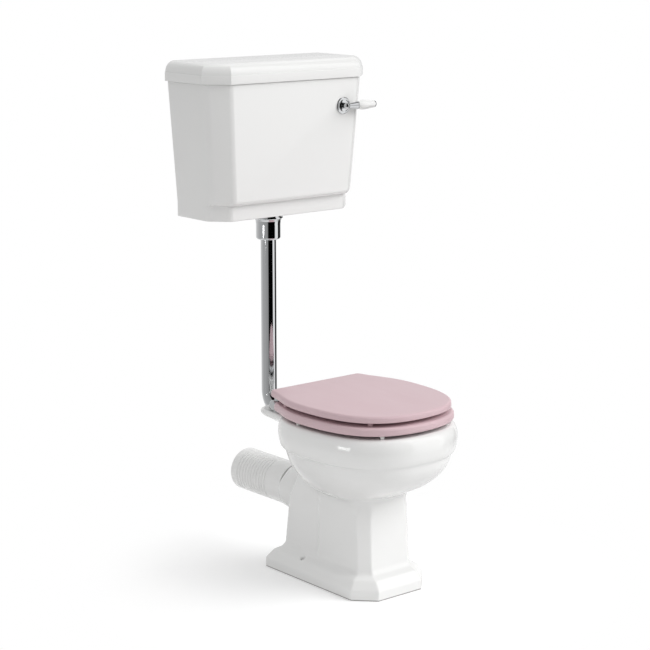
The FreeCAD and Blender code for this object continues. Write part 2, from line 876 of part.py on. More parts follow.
def make_plunger_plate():
    radius = bell_radius - siphon_wall - plunger_clearance
    plate = cylinder(radius, plunger_height, plunger_base(), up)
    ports = []
    for number in range(port_count):
        angle = 2.0 * math.pi * number / port_count
        base = plunger_base() + Vector(port_place * math.cos(angle), port_place * math.sin(angle), 0)
        ports.append(cylinder(port_radius, plunger_height, base, up))
    return plate.cut(ports + [cylinder(rod_radius, plunger_height, plunger_base(), up)])


def make_diaphragm():
    radius = bell_radius - siphon_wall - plunger_clearance
    base = plunger_base() + Vector(0, 0, plunger_height)
    return tube(radius, rod_radius, diaphragm_height, base, up)


def link_bottom():
    return lever_z - crank_height / 2.0 - link_gap_below - link_wall


def make_lift_rod():
    base = plunger_base()
    return cylinder(rod_radius, link_bottom() - base.z, base, up)


def make_lift_link():
    # a stirrup round the end of the crank arm, open enough for the arm's swing
    half_gap = crank_thickness / 2.0 + link_gap_side
    low = link_bottom()
    high = lever_z + crank_height / 2.0 + link_gap_above
    half_wall = link_wall / 2.0
    outer = block(
        Vector(siphon_offset - half_wall, pipe_y - half_gap - link_wall, low),
        Vector(siphon_offset + half_wall, pipe_y + half_gap + link_wall, high + link_wall),
    )
    inner = block(
        Vector(siphon_offset - link_wall, pipe_y - half_gap, low + link_wall),
        Vector(siphon_offset + link_wall, pipe_y + half_gap, high),
    )
    return outer.cut(inner)


# Coupling between siphon tail and flush pipe


def make_back_nut():
    # a plain neck, a flange and a flare that runs down to the coupling nut
    thread = tail_radius + thread_clearance
    flare = back_nut_radius - coupling_radius
    flange_low = back_nut_drop + flare / 2.0
    flare_run = back_nut_height - flange_low
    profile = [
        (0.0, thread),
        (0.0, back_nut_neck),
        (back_nut_drop, back_nut_neck),
        (back_nut_drop, back_nut_radius),
        (flange_low, back_nut_radius),
    ]
    for along, share in back_nut_flare:
        profile.append((flange_low + flare_run * along, coupling_radius + flare * share))
    profile += [(back_nut_height, coupling_radius), (back_nut_height, thread)]
    return turned(profile, Vector(0, pipe_y, cistern_base), down)


def make_coupling_nut():
    base = Vector(0, pipe_y, cistern_base - back_nut_height)
    body = cylinder(coupling_radius, coupling_height, base, down)
    body = body.makeFillet(coupling_round, edges_at(body, base.z - coupling_height))
    thread_depth = tail_reach - back_nut_height + seal_height
    thread = cylinder(tail_radius + thread_clearance, thread_depth, base, down)
    passage = cylinder(pipe_radius + thread_clearance, coupling_height, base, down)
    return body.cut([thread, passage])


def make_pipe_seal():
    base = Vector(0, pipe_y, cistern_base - tail_reach)
    return tube(tail_radius, pipe_radius + rubber_clearance, seal_height, base, down)


# Flush lever


def lever_front():
    return cistern_front(lever_z)


def lever_axis_y():
    return lever_front() - rosette_profile[-1][0] - hub_radius


def inner_front():
    # the inside face of the front wall at the lever's height
    share = (lever_z - floor_inside) / (cistern_top + 1.0 - floor_inside)
    low = cistern_front(band_top) + band_setback + cistern_wall
    high = cistern_front(cistern_top + 1.0) + cistern_wall
    return low + (high - low) * share


def make_rosette(outside):
    centre = Vector(lever_x, lever_front(), lever_z)
    bed = rosette_radius / 4.0
    lip = [(-bed, 0.0), (-bed, rosette_radius), (rosette_lip, rosette_radius)]
    profile = lip + rosette_profile + [(rosette_profile[-1][0], 0.0)]
    rosette = turned(profile, centre, forward).cut(outside)
    bush = cylinder(bush_radius, inner_front() + bush_reach - lever_front(), centre, backward)
    bore_length = inner_front() + bush_reach - lever_front() + rosette_profile[-1][0]
    bore_base = centre + forward * rosette_profile[-1][0]
    bore = cylinder(spindle_radius + running_clearance, bore_length, bore_base, backward)
    return rosette.fuse(bush).cut(bore)


def make_lever_washer(body):
    base = Vector(lever_x, inner_front() - lever_washer_height, lever_z)
    hole = bush_radius + thread_clearance
    return tube(lever_washer_radius, hole, 2.0 * lever_washer_height, base, backward).cut(body)


def make_lever_nut():
    base = Vector(lever_x, inner_front() + lever_washer_height, lever_z)
    nut = placed(hexagon(lever_nut_radius, lever_nut_height), base, backward)
    return nut.cut(cylinder(bush_radius + thread_clearance, lever_nut_height, base, backward))


def hexagon(radius, height):
    points = [
        Vector(radius * math.cos(math.radians(60.0 * n)), radius * math.sin(math.radians(60.0 * n)), 0)
        for n in range(6)
    ]
    return Part.Face(Part.makePolygon(points + points[:1])).extrude(Vector(0, 0, height))


def make_spindle():
    start = lever_axis_y()
    end = pipe_y + crank_hub_length / 2.0
    return cylinder(spindle_radius, end - start, Vector(lever_x, start, lever_z), backward)


def make_lever_arm():
    # a boss on the spindle with a ball over it, a tapered stem and a ferrule that takes the handle
    centre = Vector(lever_x, lever_axis_y(), lever_z)
    boss_length = hub_radius - lever_play
    boss = cylinder(boss_radius, boss_length, centre, backward)
    ball = Part.makeSphere(hub_radius, centre, backward)
    ferrule_start = arm_length - ferrule_length
    neck_radius = arm_end_radius - ferrule_bevel
    profile = [
        (0.0, 0.0),
        (0.0, arm_root_radius),
        (ferrule_start, neck_radius),
        (ferrule_start + ferrule_bevel, ferrule_radius),
        (arm_length - ferrule_bevel, ferrule_radius),
        (arm_length, ferrule_radius - ferrule_bevel),
        (arm_length, 0.0),
    ]
    arm = ball.fuse([boss, turned(profile, centre, rightward)])
    return arm.cut(make_spindle())


def make_lever_handle():
    base = Vector(lever_x + arm_length, lever_axis_y(), lever_z)
    stations = [(handle_length * along, handle_belly * share) for along, share in handle_profile]
    return turned_curve(stations, base, rightward)


def make_lever_cap():
    base = Vector(lever_x + arm_length + handle_length, lever_axis_y(), lever_z)
    dome = cylinder(lever_cap_radius, lever_cap_length, base, rightward)
    tip = [e for e in dome.Edges if e.BoundBox.XMin > base.x + lever_cap_length - level_tolerance]
    return dome.makeFillet(lever_cap_round, tip)


def make_crank_arm():
    hub_base = Vector(lever_x, pipe_y - crank_hub_length / 2.0, lever_z)
    hub = cylinder(crank_hub_radius, crank_hub_length, hub_base, backward)
    arm = block(
        Vector(siphon_offset - crank_overhang, pipe_y - crank_thickness / 2.0, lever_z - crank_height / 2.0),
        Vector(lever_x, pipe_y + crank_thickness / 2.0, lever_z + crank_height / 2.0),
    )
    screw = cylinder(crank_screw_radius, crank_hub_radius, Vector(lever_x, pipe_y, lever_z), up)
    return hub.fuse(arm).cut([make_spindle(), screw]).removeSplitter()


def make_crank_screw():
    base = Vector(lever_x, pipe_y, lever_z + spindle_radius)
    head_base = base + up * (crank_hub_radius - spindle_radius)
    screw = cylinder(crank_screw_radius, crank_screw_length, base, up)
    head = cylinder(2.0 * crank_screw_radius, crank_screw_radius, head_base, up)
    spindle = make_spindle()
    hub_base = Vector(lever_x, pipe_y - crank_hub_length / 2.0, lever_z)
    hub = cylinder(crank_hub_radius, crank_hub_length, hub_base, backward)
    return screw.fuse(head.cut(hub)).cut(spindle).removeSplitter()


# Float valve


def inner_side():
    # the inside face of the right-hand wall at the valve's height
    share = (valve_z - floor_inside) / (cistern_top + 1.0 - floor_inside)
    low = cistern_half(band_top) - cistern_wall
    return low + (cistern_half(cistern_top + 1.0) - cistern_wall - low) * share


def valve_end():
    return inner_side() - valve_washer_height - valve_nut_height / 2.0


def make_valve_body():
    flange_base = Vector(valve_end(), valve_y, valve_z)
    tail_length = cistern_half(valve_z) + valve_tail_reach - valve_end()
    tail = cylinder(valve_tail_radius, tail_length, flange_base, rightward)
    flange = cylinder(valve_nut_radius, valve_nut_height / 2.0, flange_base, rightward)
    body = cylinder(valve_body_radius, valve_body_length, flange_base, leftward)
    pivot = pivot_place()
    half_gap = ear_gap / 2.0
    ears = []
    for side in (1.0, -1.0):
        ear_x = pivot.x + side * (half_gap + ear_thickness / 2.0)
        ears.append(block(
            Vector(ear_x - ear_thickness / 2.0, valve_y - ear_half_width, pivot.z - float_eye_radius),
            Vector(ear_x + ear_thickness / 2.0, valve_y + ear_half_width, valve_z),
        ))
    pin_reach = half_gap + 2.0 * ear_thickness
    pin_start = pivot - rightward * pin_reach
    pin_hole = cylinder(pivot_radius + running_clearance, 2.0 * pin_reach, pin_start, rightward)
    bore_depth = valve_body_length - ear_thickness
    bore = cylinder(valve_bore, tail_length + bore_depth, flange_base - rightward * bore_depth, rightward)
    relief_base = Vector(cistern_half(valve_z) + valve_thread_reach, valve_y, valve_z)
    relief_radius = valve_tail_radius - valve_relief_depth
    relief = tube(valve_tail_radius + 1.0, relief_radius, valve_relief_width, relief_base, rightward)
    return tail.fuse([flange, body] + ears).cut([bore, pin_hole, relief]).removeSplitter()


def pivot_place():
    return Vector(valve_end() - valve_body_length / 2.0, valve_y, valve_z - ear_drop)


def make_valve_piston():
    base = Vector(valve_end() - valve_body_length + ear_thickness, valve_y, valve_z)
    return cylinder(valve_bore - piston_clearance, piston_length, base, rightward)


def make_pivot_pin():
    length = ear_gap + 3.0 * ear_thickness
    base = pivot_place() - rightward * (length / 2.0)
    return cylinder(pivot_radius, length, base, rightward)


def make_valve_washers(body):
    inner_base = Vector(inner_side() - valve_washer_height, valve_y, valve_z)
    hole = valve_tail_radius + thread_clearance
    inner = tube(valve_washer_radius, hole, 2.0 * valve_washer_height, inner_base, rightward).cut(body)
    outer_base = Vector(cistern_half(valve_z) - valve_washer_height, valve_y, valve_z)
    outer = tube(valve_washer_radius, hole, 2.0 * valve_washer_height, outer_base, rightward).cut(body)
    return inner, outer


def make_valve_nut():
    base = Vector(cistern_half(valve_z) + valve_washer_height, valve_y, valve_z)
    nut = placed(hexagon(valve_nut_radius, valve_nut_height), base, rightward)
    return nut.cut(cylinder(valve_tail_radius + thread_clearance, valve_nut_height, base, rightward))


def drooped(solid):
    solid.rotate(pivot_place(), leftward, -float_droop)
    return solid


def make_float_arm():
    pivot = pivot_place()
    eye_length = ear_gap - ear_play
    eye_base = pivot - rightward * (eye_length / 2.0)
    eye = cylinder(float_eye_radius, eye_length, eye_base, rightward)
    rod = cylinder(float_arm_radius, float_reach, pivot, forward)
    hole = cylinder(pivot_radius + running_clearance, eye_length, eye_base, rightward)
    return drooped(eye.fuse(rod).cut(hole).removeSplitter())


def make_float():
    # a closed hollow can clipped under the end of its arm
    top = pivot_place() + forward * float_reach - up * (float_height - float_arm_radius)
    can = cylinder(float_radius, float_height, top, up)
    can = can.makeFillet(float_radius / 6.0, can.Edges)
    rod = cylinder(float_arm_radius, float_reach, pivot_place(), forward)
    return drooped(can.cut(rod))


# Seat


def make_seat_ring():
    wire = egg(ring_half_width, ring_front, ring_rear, ring_bottom, rim_y, egg_power, seat_power)
    ring = egg_prism(wire, ring_thickness)
    ring = ring.makeFillet(ring_round, edges_at(ring, ring_top) + edges_at(ring, ring_bottom))
    hole_wire = egg(ring_hole_half_width, ring_hole_front, ring_hole_rear, ring_bottom)
    ring = ring.cut(egg_prism(hole_wire, ring_thickness))
    inner = [e for e in edges_at(ring, ring_top) if e.BoundBox.XLength < 2.0 * ring_hole_half_width + 1.0]
    return ring.makeFillet(ring_round, inner)


def make_seat_lid():
    wire = egg(lid_half_width, lid_front, lid_rear, lid_bottom, rim_y, egg_power, seat_power)
    lid = egg_prism(wire, lid_thickness)
    lid = lid.makeFillet(lid_round, edges_at(lid, lid_bottom + lid_thickness))
    return lid.makeFillet(lid_under_round, edges_at(lid, lid_bottom))


def buffer_group(places, radius, low, high):
    solids = []
    for x, y in places:
        for side in (1.0, -1.0):
            profile = [(0.0, 0.0), (0.0, radius), (high - low, radius * buffer_taper), (high - low, 0.0)]
            solids.append(turned(profile, Vector(side * x, y, high), down))
    return Part.makeCompound(solids)


def make_ring_buffers():
    return buffer_group(ring_buffer_places, ring_buffer_radius, rim_height + rest_gap, ring_bottom)


def make_lid_buffers():
    return buffer_group(lid_buffer_places, lid_buffer_radius, ring_top + rest_gap, lid_bottom)


# Seat hinge


def hinge_axis(x):
    return Vector(x, hinge_y, hinge_z)


def make_hinge_bar():
    return cylinder(bar_radius, 2.0 * bar_half_length, hinge_axis(-bar_half_length), rightward)


def make_hinge_caps():
    def cap(side):
        dome = cylinder(cap_radius, cap_length, hinge_axis(side * bar_half_length), rightward * side)
        end = side * (bar_half_length + cap_length)
        rim = [e for e in dome.Edges if abs(e.BoundBox.Center.x - end) < level_tolerance]
        return dome.makeFillet(cap_round, rim)

    return mirrored_pair(cap)


def make_hinge_posts():
    def post(side):
        base = Vector(side * post_x, hinge_y, rim_height)
        foot = cylinder(post_foot_radius, post_foot_height, base, up)
        column = cylinder(post_radius, hinge_rise, base, up)
        stud = cylinder(stud_radius, stud_length, base, down)
        return foot.fuse([column, stud]).cut(make_hinge_bar()).removeSplitter()

    return mirrored_pair(post)


def make_seat_washers():
    def washer(side):
        base = Vector(side * post_x, hinge_y, rim_height - deck_thickness)
        return tube(seat_washer_radius, stud_radius + thread_clearance, seat_washer_height, base, down)

    return mirrored_pair(washer)


def make_seat_nuts():
    def nut(side):
        base = Vector(side * post_x, hinge_y, rim_height - deck_thickness - seat_washer_height)
        solid = placed(hexagon(seat_nut_radius, seat_nut_height), base, down)
        return solid.cut(cylinder(stud_radius + thread_clearance, seat_nut_height, base, down))

    return mirrored_pair(nut)


def sleeve_bore(x):
    start = hinge_axis(x - sleeve_width)
    return cylinder(bar_radius + running_clearance, 2.0 * sleeve_width, start, rightward)


def leaf_screw_ys():
    return [hinge_y - leaf_screw_start, hinge_y - leaf_screw_start - leaf_screw_pitch]


def leaf_holes(x, z):
    return [cylinder(leaf_screw_radius, leaf_thickness, Vector(x, y, z), up) for y in leaf_screw_ys()]


def make_ring_leaves():
    def leaf(side):
        x = side * ring_leaf_x
        half = sleeve_width / 2.0
        sleeve = cylinder(sleeve_radius, sleeve_width, hinge_axis(x - half), rightward)
        plate_low = ring_bottom - leaf_thickness
        plate_end = Vector(x - half, hinge_y - leaf_reach, plate_low)
        plate = block(plate_end, Vector(x + half, hinge_y, ring_bottom))
        solid = sleeve.fuse(plate).cut([sleeve_bore(x)] + leaf_holes(x, plate_low))
        return solid.removeSplitter()

    return mirrored_pair(leaf)


def make_lid_leaves():
    def leaf(side):
        x = side * lid_leaf_x
        half = sleeve_width / 2.0
        sleeve = cylinder(sleeve_radius, sleeve_width, hinge_axis(x - half), rightward)
        half_riser = riser_thickness / 2.0
        riser_low = Vector(x - half, hinge_y - half_riser, hinge_z)
        riser = block(riser_low, Vector(x + half, hinge_y + half_riser, lid_bottom))
        plate_low = lid_bottom - leaf_thickness
        plate_end = Vector(x - half, hinge_y - leaf_reach, plate_low)
        plate = block(plate_end, Vector(x + half, hinge_y, lid_bottom))
        solid = sleeve.fuse([riser, plate]).cut([sleeve_bore(x)] + leaf_holes(x, plate_low))
        return solid.removeSplitter()

    return mirrored_pair(leaf)


def make_leaf_screws(leaf_x, face_z):
    screws = []
    for side in (1.0, -1.0):
        for y in leaf_screw_ys():
            base = Vector(side * leaf_x, y, face_z - leaf_thickness)
            shank = cylinder(leaf_screw_radius, leaf_screw_length, base, up)
            head = cylinder(leaf_screw_head, leaf_screw_head_height, base, down)
            screws.append(shank.fuse(head).removeSplitter())
    return Part.makeCompound(screws)


def main():
    outside = cistern_outside()
    body = make_cistern_body(outside)
    inner_washer, outer_washer = make_valve_washers(body)
    ring_screws = make_leaf_screws(ring_leaf_x, ring_bottom)
    lid_screws = make_leaf_screws(lid_leaf_x, lid_bottom)
    nodes = {
        **make_pan(),
        "flush_pipe": make_flush_pipe(),
        "flush_cone": make_flush_cone(),
        "cistern_body": body,
        "cistern_lid": make_cistern_lid(),
        "siphon_body": make_siphon_body(),
        "siphon_washer": make_siphon_washer(),
        "plunger_plate": make_plunger_plate(),
        "diaphragm": make_diaphragm(),
        "lift_rod": make_lift_rod(),
        "lift_link": make_lift_link(),
        "tail_back_nut": make_back_nut(),
        "coupling_nut": make_coupling_nut(),
        "pipe_seal": make_pipe_seal(),
        "lever_rosette": make_rosette(outside),
        "lever_washer": make_lever_washer(body),
        "lever_nut": make_lever_nut(),
        "lever_spindle": make_spindle(),
        "lever_arm": make_lever_arm(),
        "lever_handle": make_lever_handle(),
        "lever_cap": make_lever_cap(),
        "crank_arm": make_crank_arm(),
        "crank_screw": make_crank_screw(),
        "valve_body": make_valve_body(),
        "valve_piston": make_valve_piston(),
        "valve_inner_washer": inner_washer,
        "valve_outer_washer": outer_washer,
        "valve_nut": make_valve_nut(),
        "pivot_pin": make_pivot_pin(),
        "float_arm": make_float_arm(),
        "float": make_float(),
        "seat_ring": make_seat_ring().cut(ring_screws),
        "seat_lid": make_seat_lid().cut(lid_screws),
        "ring_buffers": make_ring_buffers(),
        "lid_buffers": make_lid_buffers(),
        "hinge_bar": make_hinge_bar(),
        "hinge_caps": make_hinge_caps(),
        "hinge_posts": make_hinge_posts(),
        "seat_washers": make_seat_washers(),
        "seat_nuts": make_seat_nuts(),
        "ring_leaves": make_ring_leaves(),
        "lid_leaves": make_lid_leaves(),
        "ring_leaf_screws": ring_screws,
        "lid_leaf_screws": lid_screws,
    }
    os.makedirs("parts", exist_ok=True)
    for name, shape in nodes.items():
        shape.exportStep(f"parts/{name}.step")
        print(name, len(shape.Solids), round(shape.Volume / 1000.0, 2), shape.isValid())


main()
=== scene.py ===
import json
import math

import bmesh
import bpy
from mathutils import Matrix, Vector
from mathutils.bvhtree import BVHTree

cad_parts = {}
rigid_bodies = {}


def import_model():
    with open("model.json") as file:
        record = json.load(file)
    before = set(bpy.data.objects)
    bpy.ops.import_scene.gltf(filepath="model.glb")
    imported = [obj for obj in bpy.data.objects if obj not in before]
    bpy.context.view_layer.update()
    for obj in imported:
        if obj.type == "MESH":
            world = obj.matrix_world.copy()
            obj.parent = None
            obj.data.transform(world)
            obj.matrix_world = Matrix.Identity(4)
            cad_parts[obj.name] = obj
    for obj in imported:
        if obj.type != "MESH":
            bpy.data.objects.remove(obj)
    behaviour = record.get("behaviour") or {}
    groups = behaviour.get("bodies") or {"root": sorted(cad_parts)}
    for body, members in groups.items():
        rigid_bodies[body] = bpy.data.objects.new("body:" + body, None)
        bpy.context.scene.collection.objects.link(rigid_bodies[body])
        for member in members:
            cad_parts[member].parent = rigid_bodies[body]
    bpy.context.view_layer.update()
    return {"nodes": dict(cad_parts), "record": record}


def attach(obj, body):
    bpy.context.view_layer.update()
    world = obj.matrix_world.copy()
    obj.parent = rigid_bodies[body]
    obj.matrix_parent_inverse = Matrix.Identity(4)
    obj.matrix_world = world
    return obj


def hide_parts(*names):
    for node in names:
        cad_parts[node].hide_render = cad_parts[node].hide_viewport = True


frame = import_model()
nodes = frame["nodes"]
scene = bpy.context.scene
scene.view_settings.view_transform = "Standard"
print("frame loaded,", len(nodes), "pieces")


# small helpers for working by hand

within = {  # metres that count as close
    "weld": 0.00002,
    "fine": 0.0005,
    "near": 0.001,
    "mouth": 0.002,
    "back": 0.005,
}
upright = 0.9  # how far up a direction points to count as standing


def clearSelection():
    if bpy.context.object and bpy.context.object.mode != "OBJECT":
        bpy.ops.object.mode_set(mode="OBJECT")
    bpy.ops.object.select_all(action="DESELECT")


def takeHold(piece):
    clearSelection()
    piece.select_set(True)
    bpy.context.view_layer.objects.active = piece


def startEdit(piece, mode):
    takeHold(piece)
    bpy.ops.object.mode_set(mode="EDIT")
    bpy.ops.mesh.select_mode(type=mode)
    bpy.ops.mesh.select_all(action="DESELECT")


def endEdit():
    bpy.ops.object.mode_set(mode="OBJECT")


def pickFaces(piece, wanted):  # wanted(middle, normal)
    work = bmesh.from_edit_mesh(piece.data)
    for face in work.faces:
        face.select_set(wanted(face.calc_center_median(), face.normal))
    work.select_flush_mode()
    bmesh.update_edit_mesh(piece.data)


def pickEdges(piece, wanted):  # wanted(middle, direction)
    work = bmesh.from_edit_mesh(piece.data)
    for edge in work.edges:
        start, end = edge.verts[0].co, edge.verts[1].co
        edge.select_set(wanted((start + end) / 2, (end - start).normalized()))
    work.select_flush_mode()
    bmesh.update_edit_mesh(piece.data)


def pickVerts(piece, wanted):  # wanted(place)
    work = bmesh.from_edit_mesh(piece.data)
    for vert in work.verts:
        vert.select_set(wanted(vert.co))
    work.select_flush_mode()
    bmesh.update_edit_mesh(piece.data)


def finishWith(piece, kind, **settings):
    takeHold(piece)
    modifier = piece.modifiers.new(kind.lower(), kind)
    for name, value in settings.items():
        setattr(modifier, name, value)
    bpy.ops.object.modifier_apply(modifier=modifier.name)


def bakePlace(piece):
    takeHold(piece)
    bpy.ops.object.transform_apply(location=True, rotation=True, scale=True)


def smoothShade(piece, degrees):
    takeHold(piece)
    bpy.ops.object.shade_smooth_by_angle(angle=math.radians(degrees))


def blockBetween(name, low, high):
    clearSelection()
    middle = [(a + b) / 2 for a, b in zip(low, high)]
    bpy.ops.mesh.primitive_cube_add(size=1, location=middle)
    piece = bpy.context.object
    piece.name = name
    piece.scale = [b - a for a, b in zip(low, high)]
    bakePlace(piece)
    return piece


def rodBetween(name, start, end, radius, sides=48):
    clearSelection()
    start, end = Vector(start), Vector(end)
    run = end - start
    bpy.ops.mesh.primitive_cylinder_add(
        vertices=sides, radius=radius, depth=run.length, location=(start + end) / 2,
    )
    piece = bpy.context.object
    piece.name = name
    piece.rotation_euler = run.to_track_quat("Z", "Y").to_euler()
    bakePlace(piece)
    return piece


def combine(piece, other, how):
    finishWith(piece, "BOOLEAN", operation=how, solver="EXACT", object=other)
    bpy.data.objects.remove(other)


def copyOfNode(nodeName, name):
    source = nodes[nodeName]
    piece = bpy.data.objects.new(name, source.data.copy())
    scene.collection.objects.link(piece)
    startEdit(piece, "VERT")
    bpy.ops.mesh.select_all(action="SELECT")
    bpy.ops.mesh.remove_doubles(threshold=within["weld"])
    endEdit()
    return piece


# camera, at the photograph's angle

cameraSet = {
    "place": (-2.8172, -3.3025, 1.5247),
    "yaw": 39.705,  # degrees to the right of straight ahead
    "pitch": 11.865,  # degrees down
    "lens": 105.33,
    "sensor": 36,
}
clearSelection()
bpy.ops.object.camera_add(location=cameraSet["place"])
camera = bpy.context.object
camera.rotation_euler = (math.radians(90 - cameraSet["pitch"]), 0, -math.radians(cameraSet["yaw"]))
camera.data.sensor_width = cameraSet["sensor"]
camera.data.lens = cameraSet["lens"]
scene.camera = camera
print("camera set")


# shared shader groups

noiseDetail = {"cloud": 3, "ripple": 1, "marks": 5}
marksBand = (0.3, 0.7)  # the middle of the noise, spread over the whole range of roughness


def newGroup(name, inputs, outputs):
    group = bpy.data.node_groups.new(name, "ShaderNodeTree")
    for label, kind, value in inputs:
        socket = group.interface.new_socket(label, in_out="INPUT", socket_type=kind)
        socket.default_value = value
    for label, kind in outputs:
        group.interface.new_socket(label, in_out="OUTPUT", socket_type=kind)
    start = group.nodes.new("NodeGroupInput")
    end = group.nodes.new("NodeGroupOutput")
    return group, start, end


def addNode(tree, kind, **settings):
    node = tree.nodes.new(kind)
    for name, value in settings.items():
        setattr(node, name, value)
    return node


def makeCloudTint():  # slow drift of a colour over the surface, and a fine ripple
    group, start, end = newGroup(
        "cloudTint",
        [
            ("Color", "NodeSocketColor", (0.8, 0.8, 0.8, 1)),
            ("Shade", "NodeSocketColor", (0.7, 0.7, 0.7, 1)),
            ("Drift", "NodeSocketFloat", 0.3),
            ("Cloud Size", "NodeSocketFloat", 5.0),
            ("Ripple Size", "NodeSocketFloat", 120.0),
        ],
        [("Color", "NodeSocketColor"), ("Height", "NodeSocketFloat")],
    )
    place = addNode(group, "ShaderNodeTexCoord")
    cloud = addNode(group, "ShaderNodeTexNoise")
    cloud.inputs["Detail"].default_value = noiseDetail["cloud"]
    ripple = addNode(group, "ShaderNodeTexNoise")
    ripple.inputs["Detail"].default_value = noiseDetail["ripple"]
    strength = addNode(group, "ShaderNodeMath", operation="MULTIPLY")
    mix = addNode(group, "ShaderNodeMix", data_type="RGBA")
    link = group.links.new
    link(place.outputs["Object"], cloud.inputs["Vector"])
    link(place.outputs["Object"], ripple.inputs["Vector"])
    link(start.outputs["Cloud Size"], cloud.inputs["Scale"])
    link(start.outputs["Ripple Size"], ripple.inputs["Scale"])
    link(cloud.outputs["Fac"], strength.inputs[0])
    link(start.outputs["Drift"], strength.inputs[1])
    link(strength.outputs[0], mix.inputs["Factor"])
    link(start.outputs["Color"], mix.inputs["A"])
    link(start.outputs["Shade"], mix.inputs["B"])
    link(mix.outputs["Result"], end.inputs["Color"])
    link(ripple.outputs["Fac"], end.inputs["Height"])
    return group


def makeRubMarks():  # faint wiping marks: stretched noise as roughness
    group, start, end = newGroup(
        "rubMarks",
        [
            ("Low", "NodeSocketFloat", 0.05),
            ("High", "NodeSocketFloat", 0.15),
            ("Size", "NodeSocketFloat", 30.0),
            ("Stretch", "NodeSocketVector", (1, 1, 1)),
        ],
        [("Roughness", "NodeSocketFloat")],
    )
    place = addNode(group, "ShaderNodeTexCoord")
    pull = addNode(group, "ShaderNodeVectorMath", operation="MULTIPLY")
    noise = addNode(group, "ShaderNodeTexNoise")
    noise.inputs["Detail"].default_value = noiseDetail["marks"]
    spread = addNode(group, "ShaderNodeMapRange")
    spread.inputs["From Min"].default_value, spread.inputs["From Max"].default_value = marksBand
    link = group.links.new
    link(place.outputs["Object"], pull.inputs[0])
    link(start.outputs["Stretch"], pull.inputs[1])
    link(pull.outputs[0], noise.inputs["Vector"])
    link(start.outputs["Size"], noise.inputs["Scale"])
    link(noise.outputs["Fac"], spread.inputs["Value"])
    link(start.outputs["Low"], spread.inputs["To Min"])
    link(start.outputs["High"], spread.inputs["To Max"])
    link(spread.outputs[0], end.inputs["Roughness"])
    return group


cloudTint = makeCloudTint()
rubMarks = makeRubMarks()


def newMaterial(name):
    material = bpy.data.materials.new(name)
    material.use_nodes = True
    return material, material.node_tree, material.node_tree.nodes["Principled BSDF"]


def placeGroup(tree, group, **values):
    node = addNode(tree, "ShaderNodeGroup", node_tree=group)
    for label, value in values.items():
        node.inputs[label.replace("_", " ")].default_value = value
    return node


def bumpFrom(tree, height, strength, distance):
    bump = addNode(tree, "ShaderNodeBump")
    bump.inputs["Strength"].default_value = strength
    bump.inputs["Distance"].default_value = distance
    tree.links.new(height, bump.inputs["Height"])
    return bump


paintedContactShade = {  # painted contact shadow: a dark band along the bottom of the pan, where it stands on the floor
    "color": (0.30, 0.29, 0.28, 1),
    "from": 0.0010,
    "to": 0.0028,
}


# darkens a colour towards the bottom of the piece: painted contact shadow
def paintContactShade(tree, color):
    place = addNode(tree, "ShaderNodeTexCoord")
    split = addNode(tree, "ShaderNodeSeparateXYZ")
    rise = addNode(tree, "ShaderNodeMapRange")
    rise.inputs["From Min"].default_value = paintedContactShade["from"]
    rise.inputs["From Max"].default_value = paintedContactShade["to"]
    mix = addNode(tree, "ShaderNodeMix", data_type="RGBA")
    mix.inputs["A"].default_value = paintedContactShade["color"]
    tree.links.new(place.outputs["Object"], split.inputs[0])
    tree.links.new(split.outputs["Z"], rise.inputs["Value"])
    tree.links.new(rise.outputs[0], mix.inputs["Factor"])
    tree.links.new(color, mix.inputs["B"])
    return mix.outputs["Result"]


def surfaceMaterial(name, finish):
    material, tree, shader = newMaterial(name)
    tint = placeGroup(
        tree, cloudTint, Color=finish["color"], Shade=finish["shade"], Drift=finish["drift"],
        Cloud_Size=finish["cloudSize"], Ripple_Size=finish["rippleSize"],
    )
    marks = placeGroup(
        tree, rubMarks, Low=finish["roughLow"], High=finish["roughHigh"], Size=finish["markSize"],
        Stretch=finish["stretch"],
    )
    bump = bumpFrom(tree, tint.outputs["Height"], finish["bump"], finish["bumpDepth"])
    # the china gets the painted contact shadow at its foot
    color = paintContactShade(tree, tint.outputs["Color"]) if name == "china" else tint.outputs["Color"]
    tree.links.new(color, shader.inputs["Base Color"])
    tree.links.new(marks.outputs["Roughness"], shader.inputs["Roughness"])
    tree.links.new(bump.outputs["Normal"], shader.inputs["Normal"])
    shader.inputs["Metallic"].default_value = finish["metallic"]
    shader.inputs["Specular IOR Level"].default_value = finish["specular"]
    shader.inputs["Coat Weight"].default_value = finish["coat"]
    shader.inputs["Coat Roughness"].default_value = finish["coatRough"]
    return material


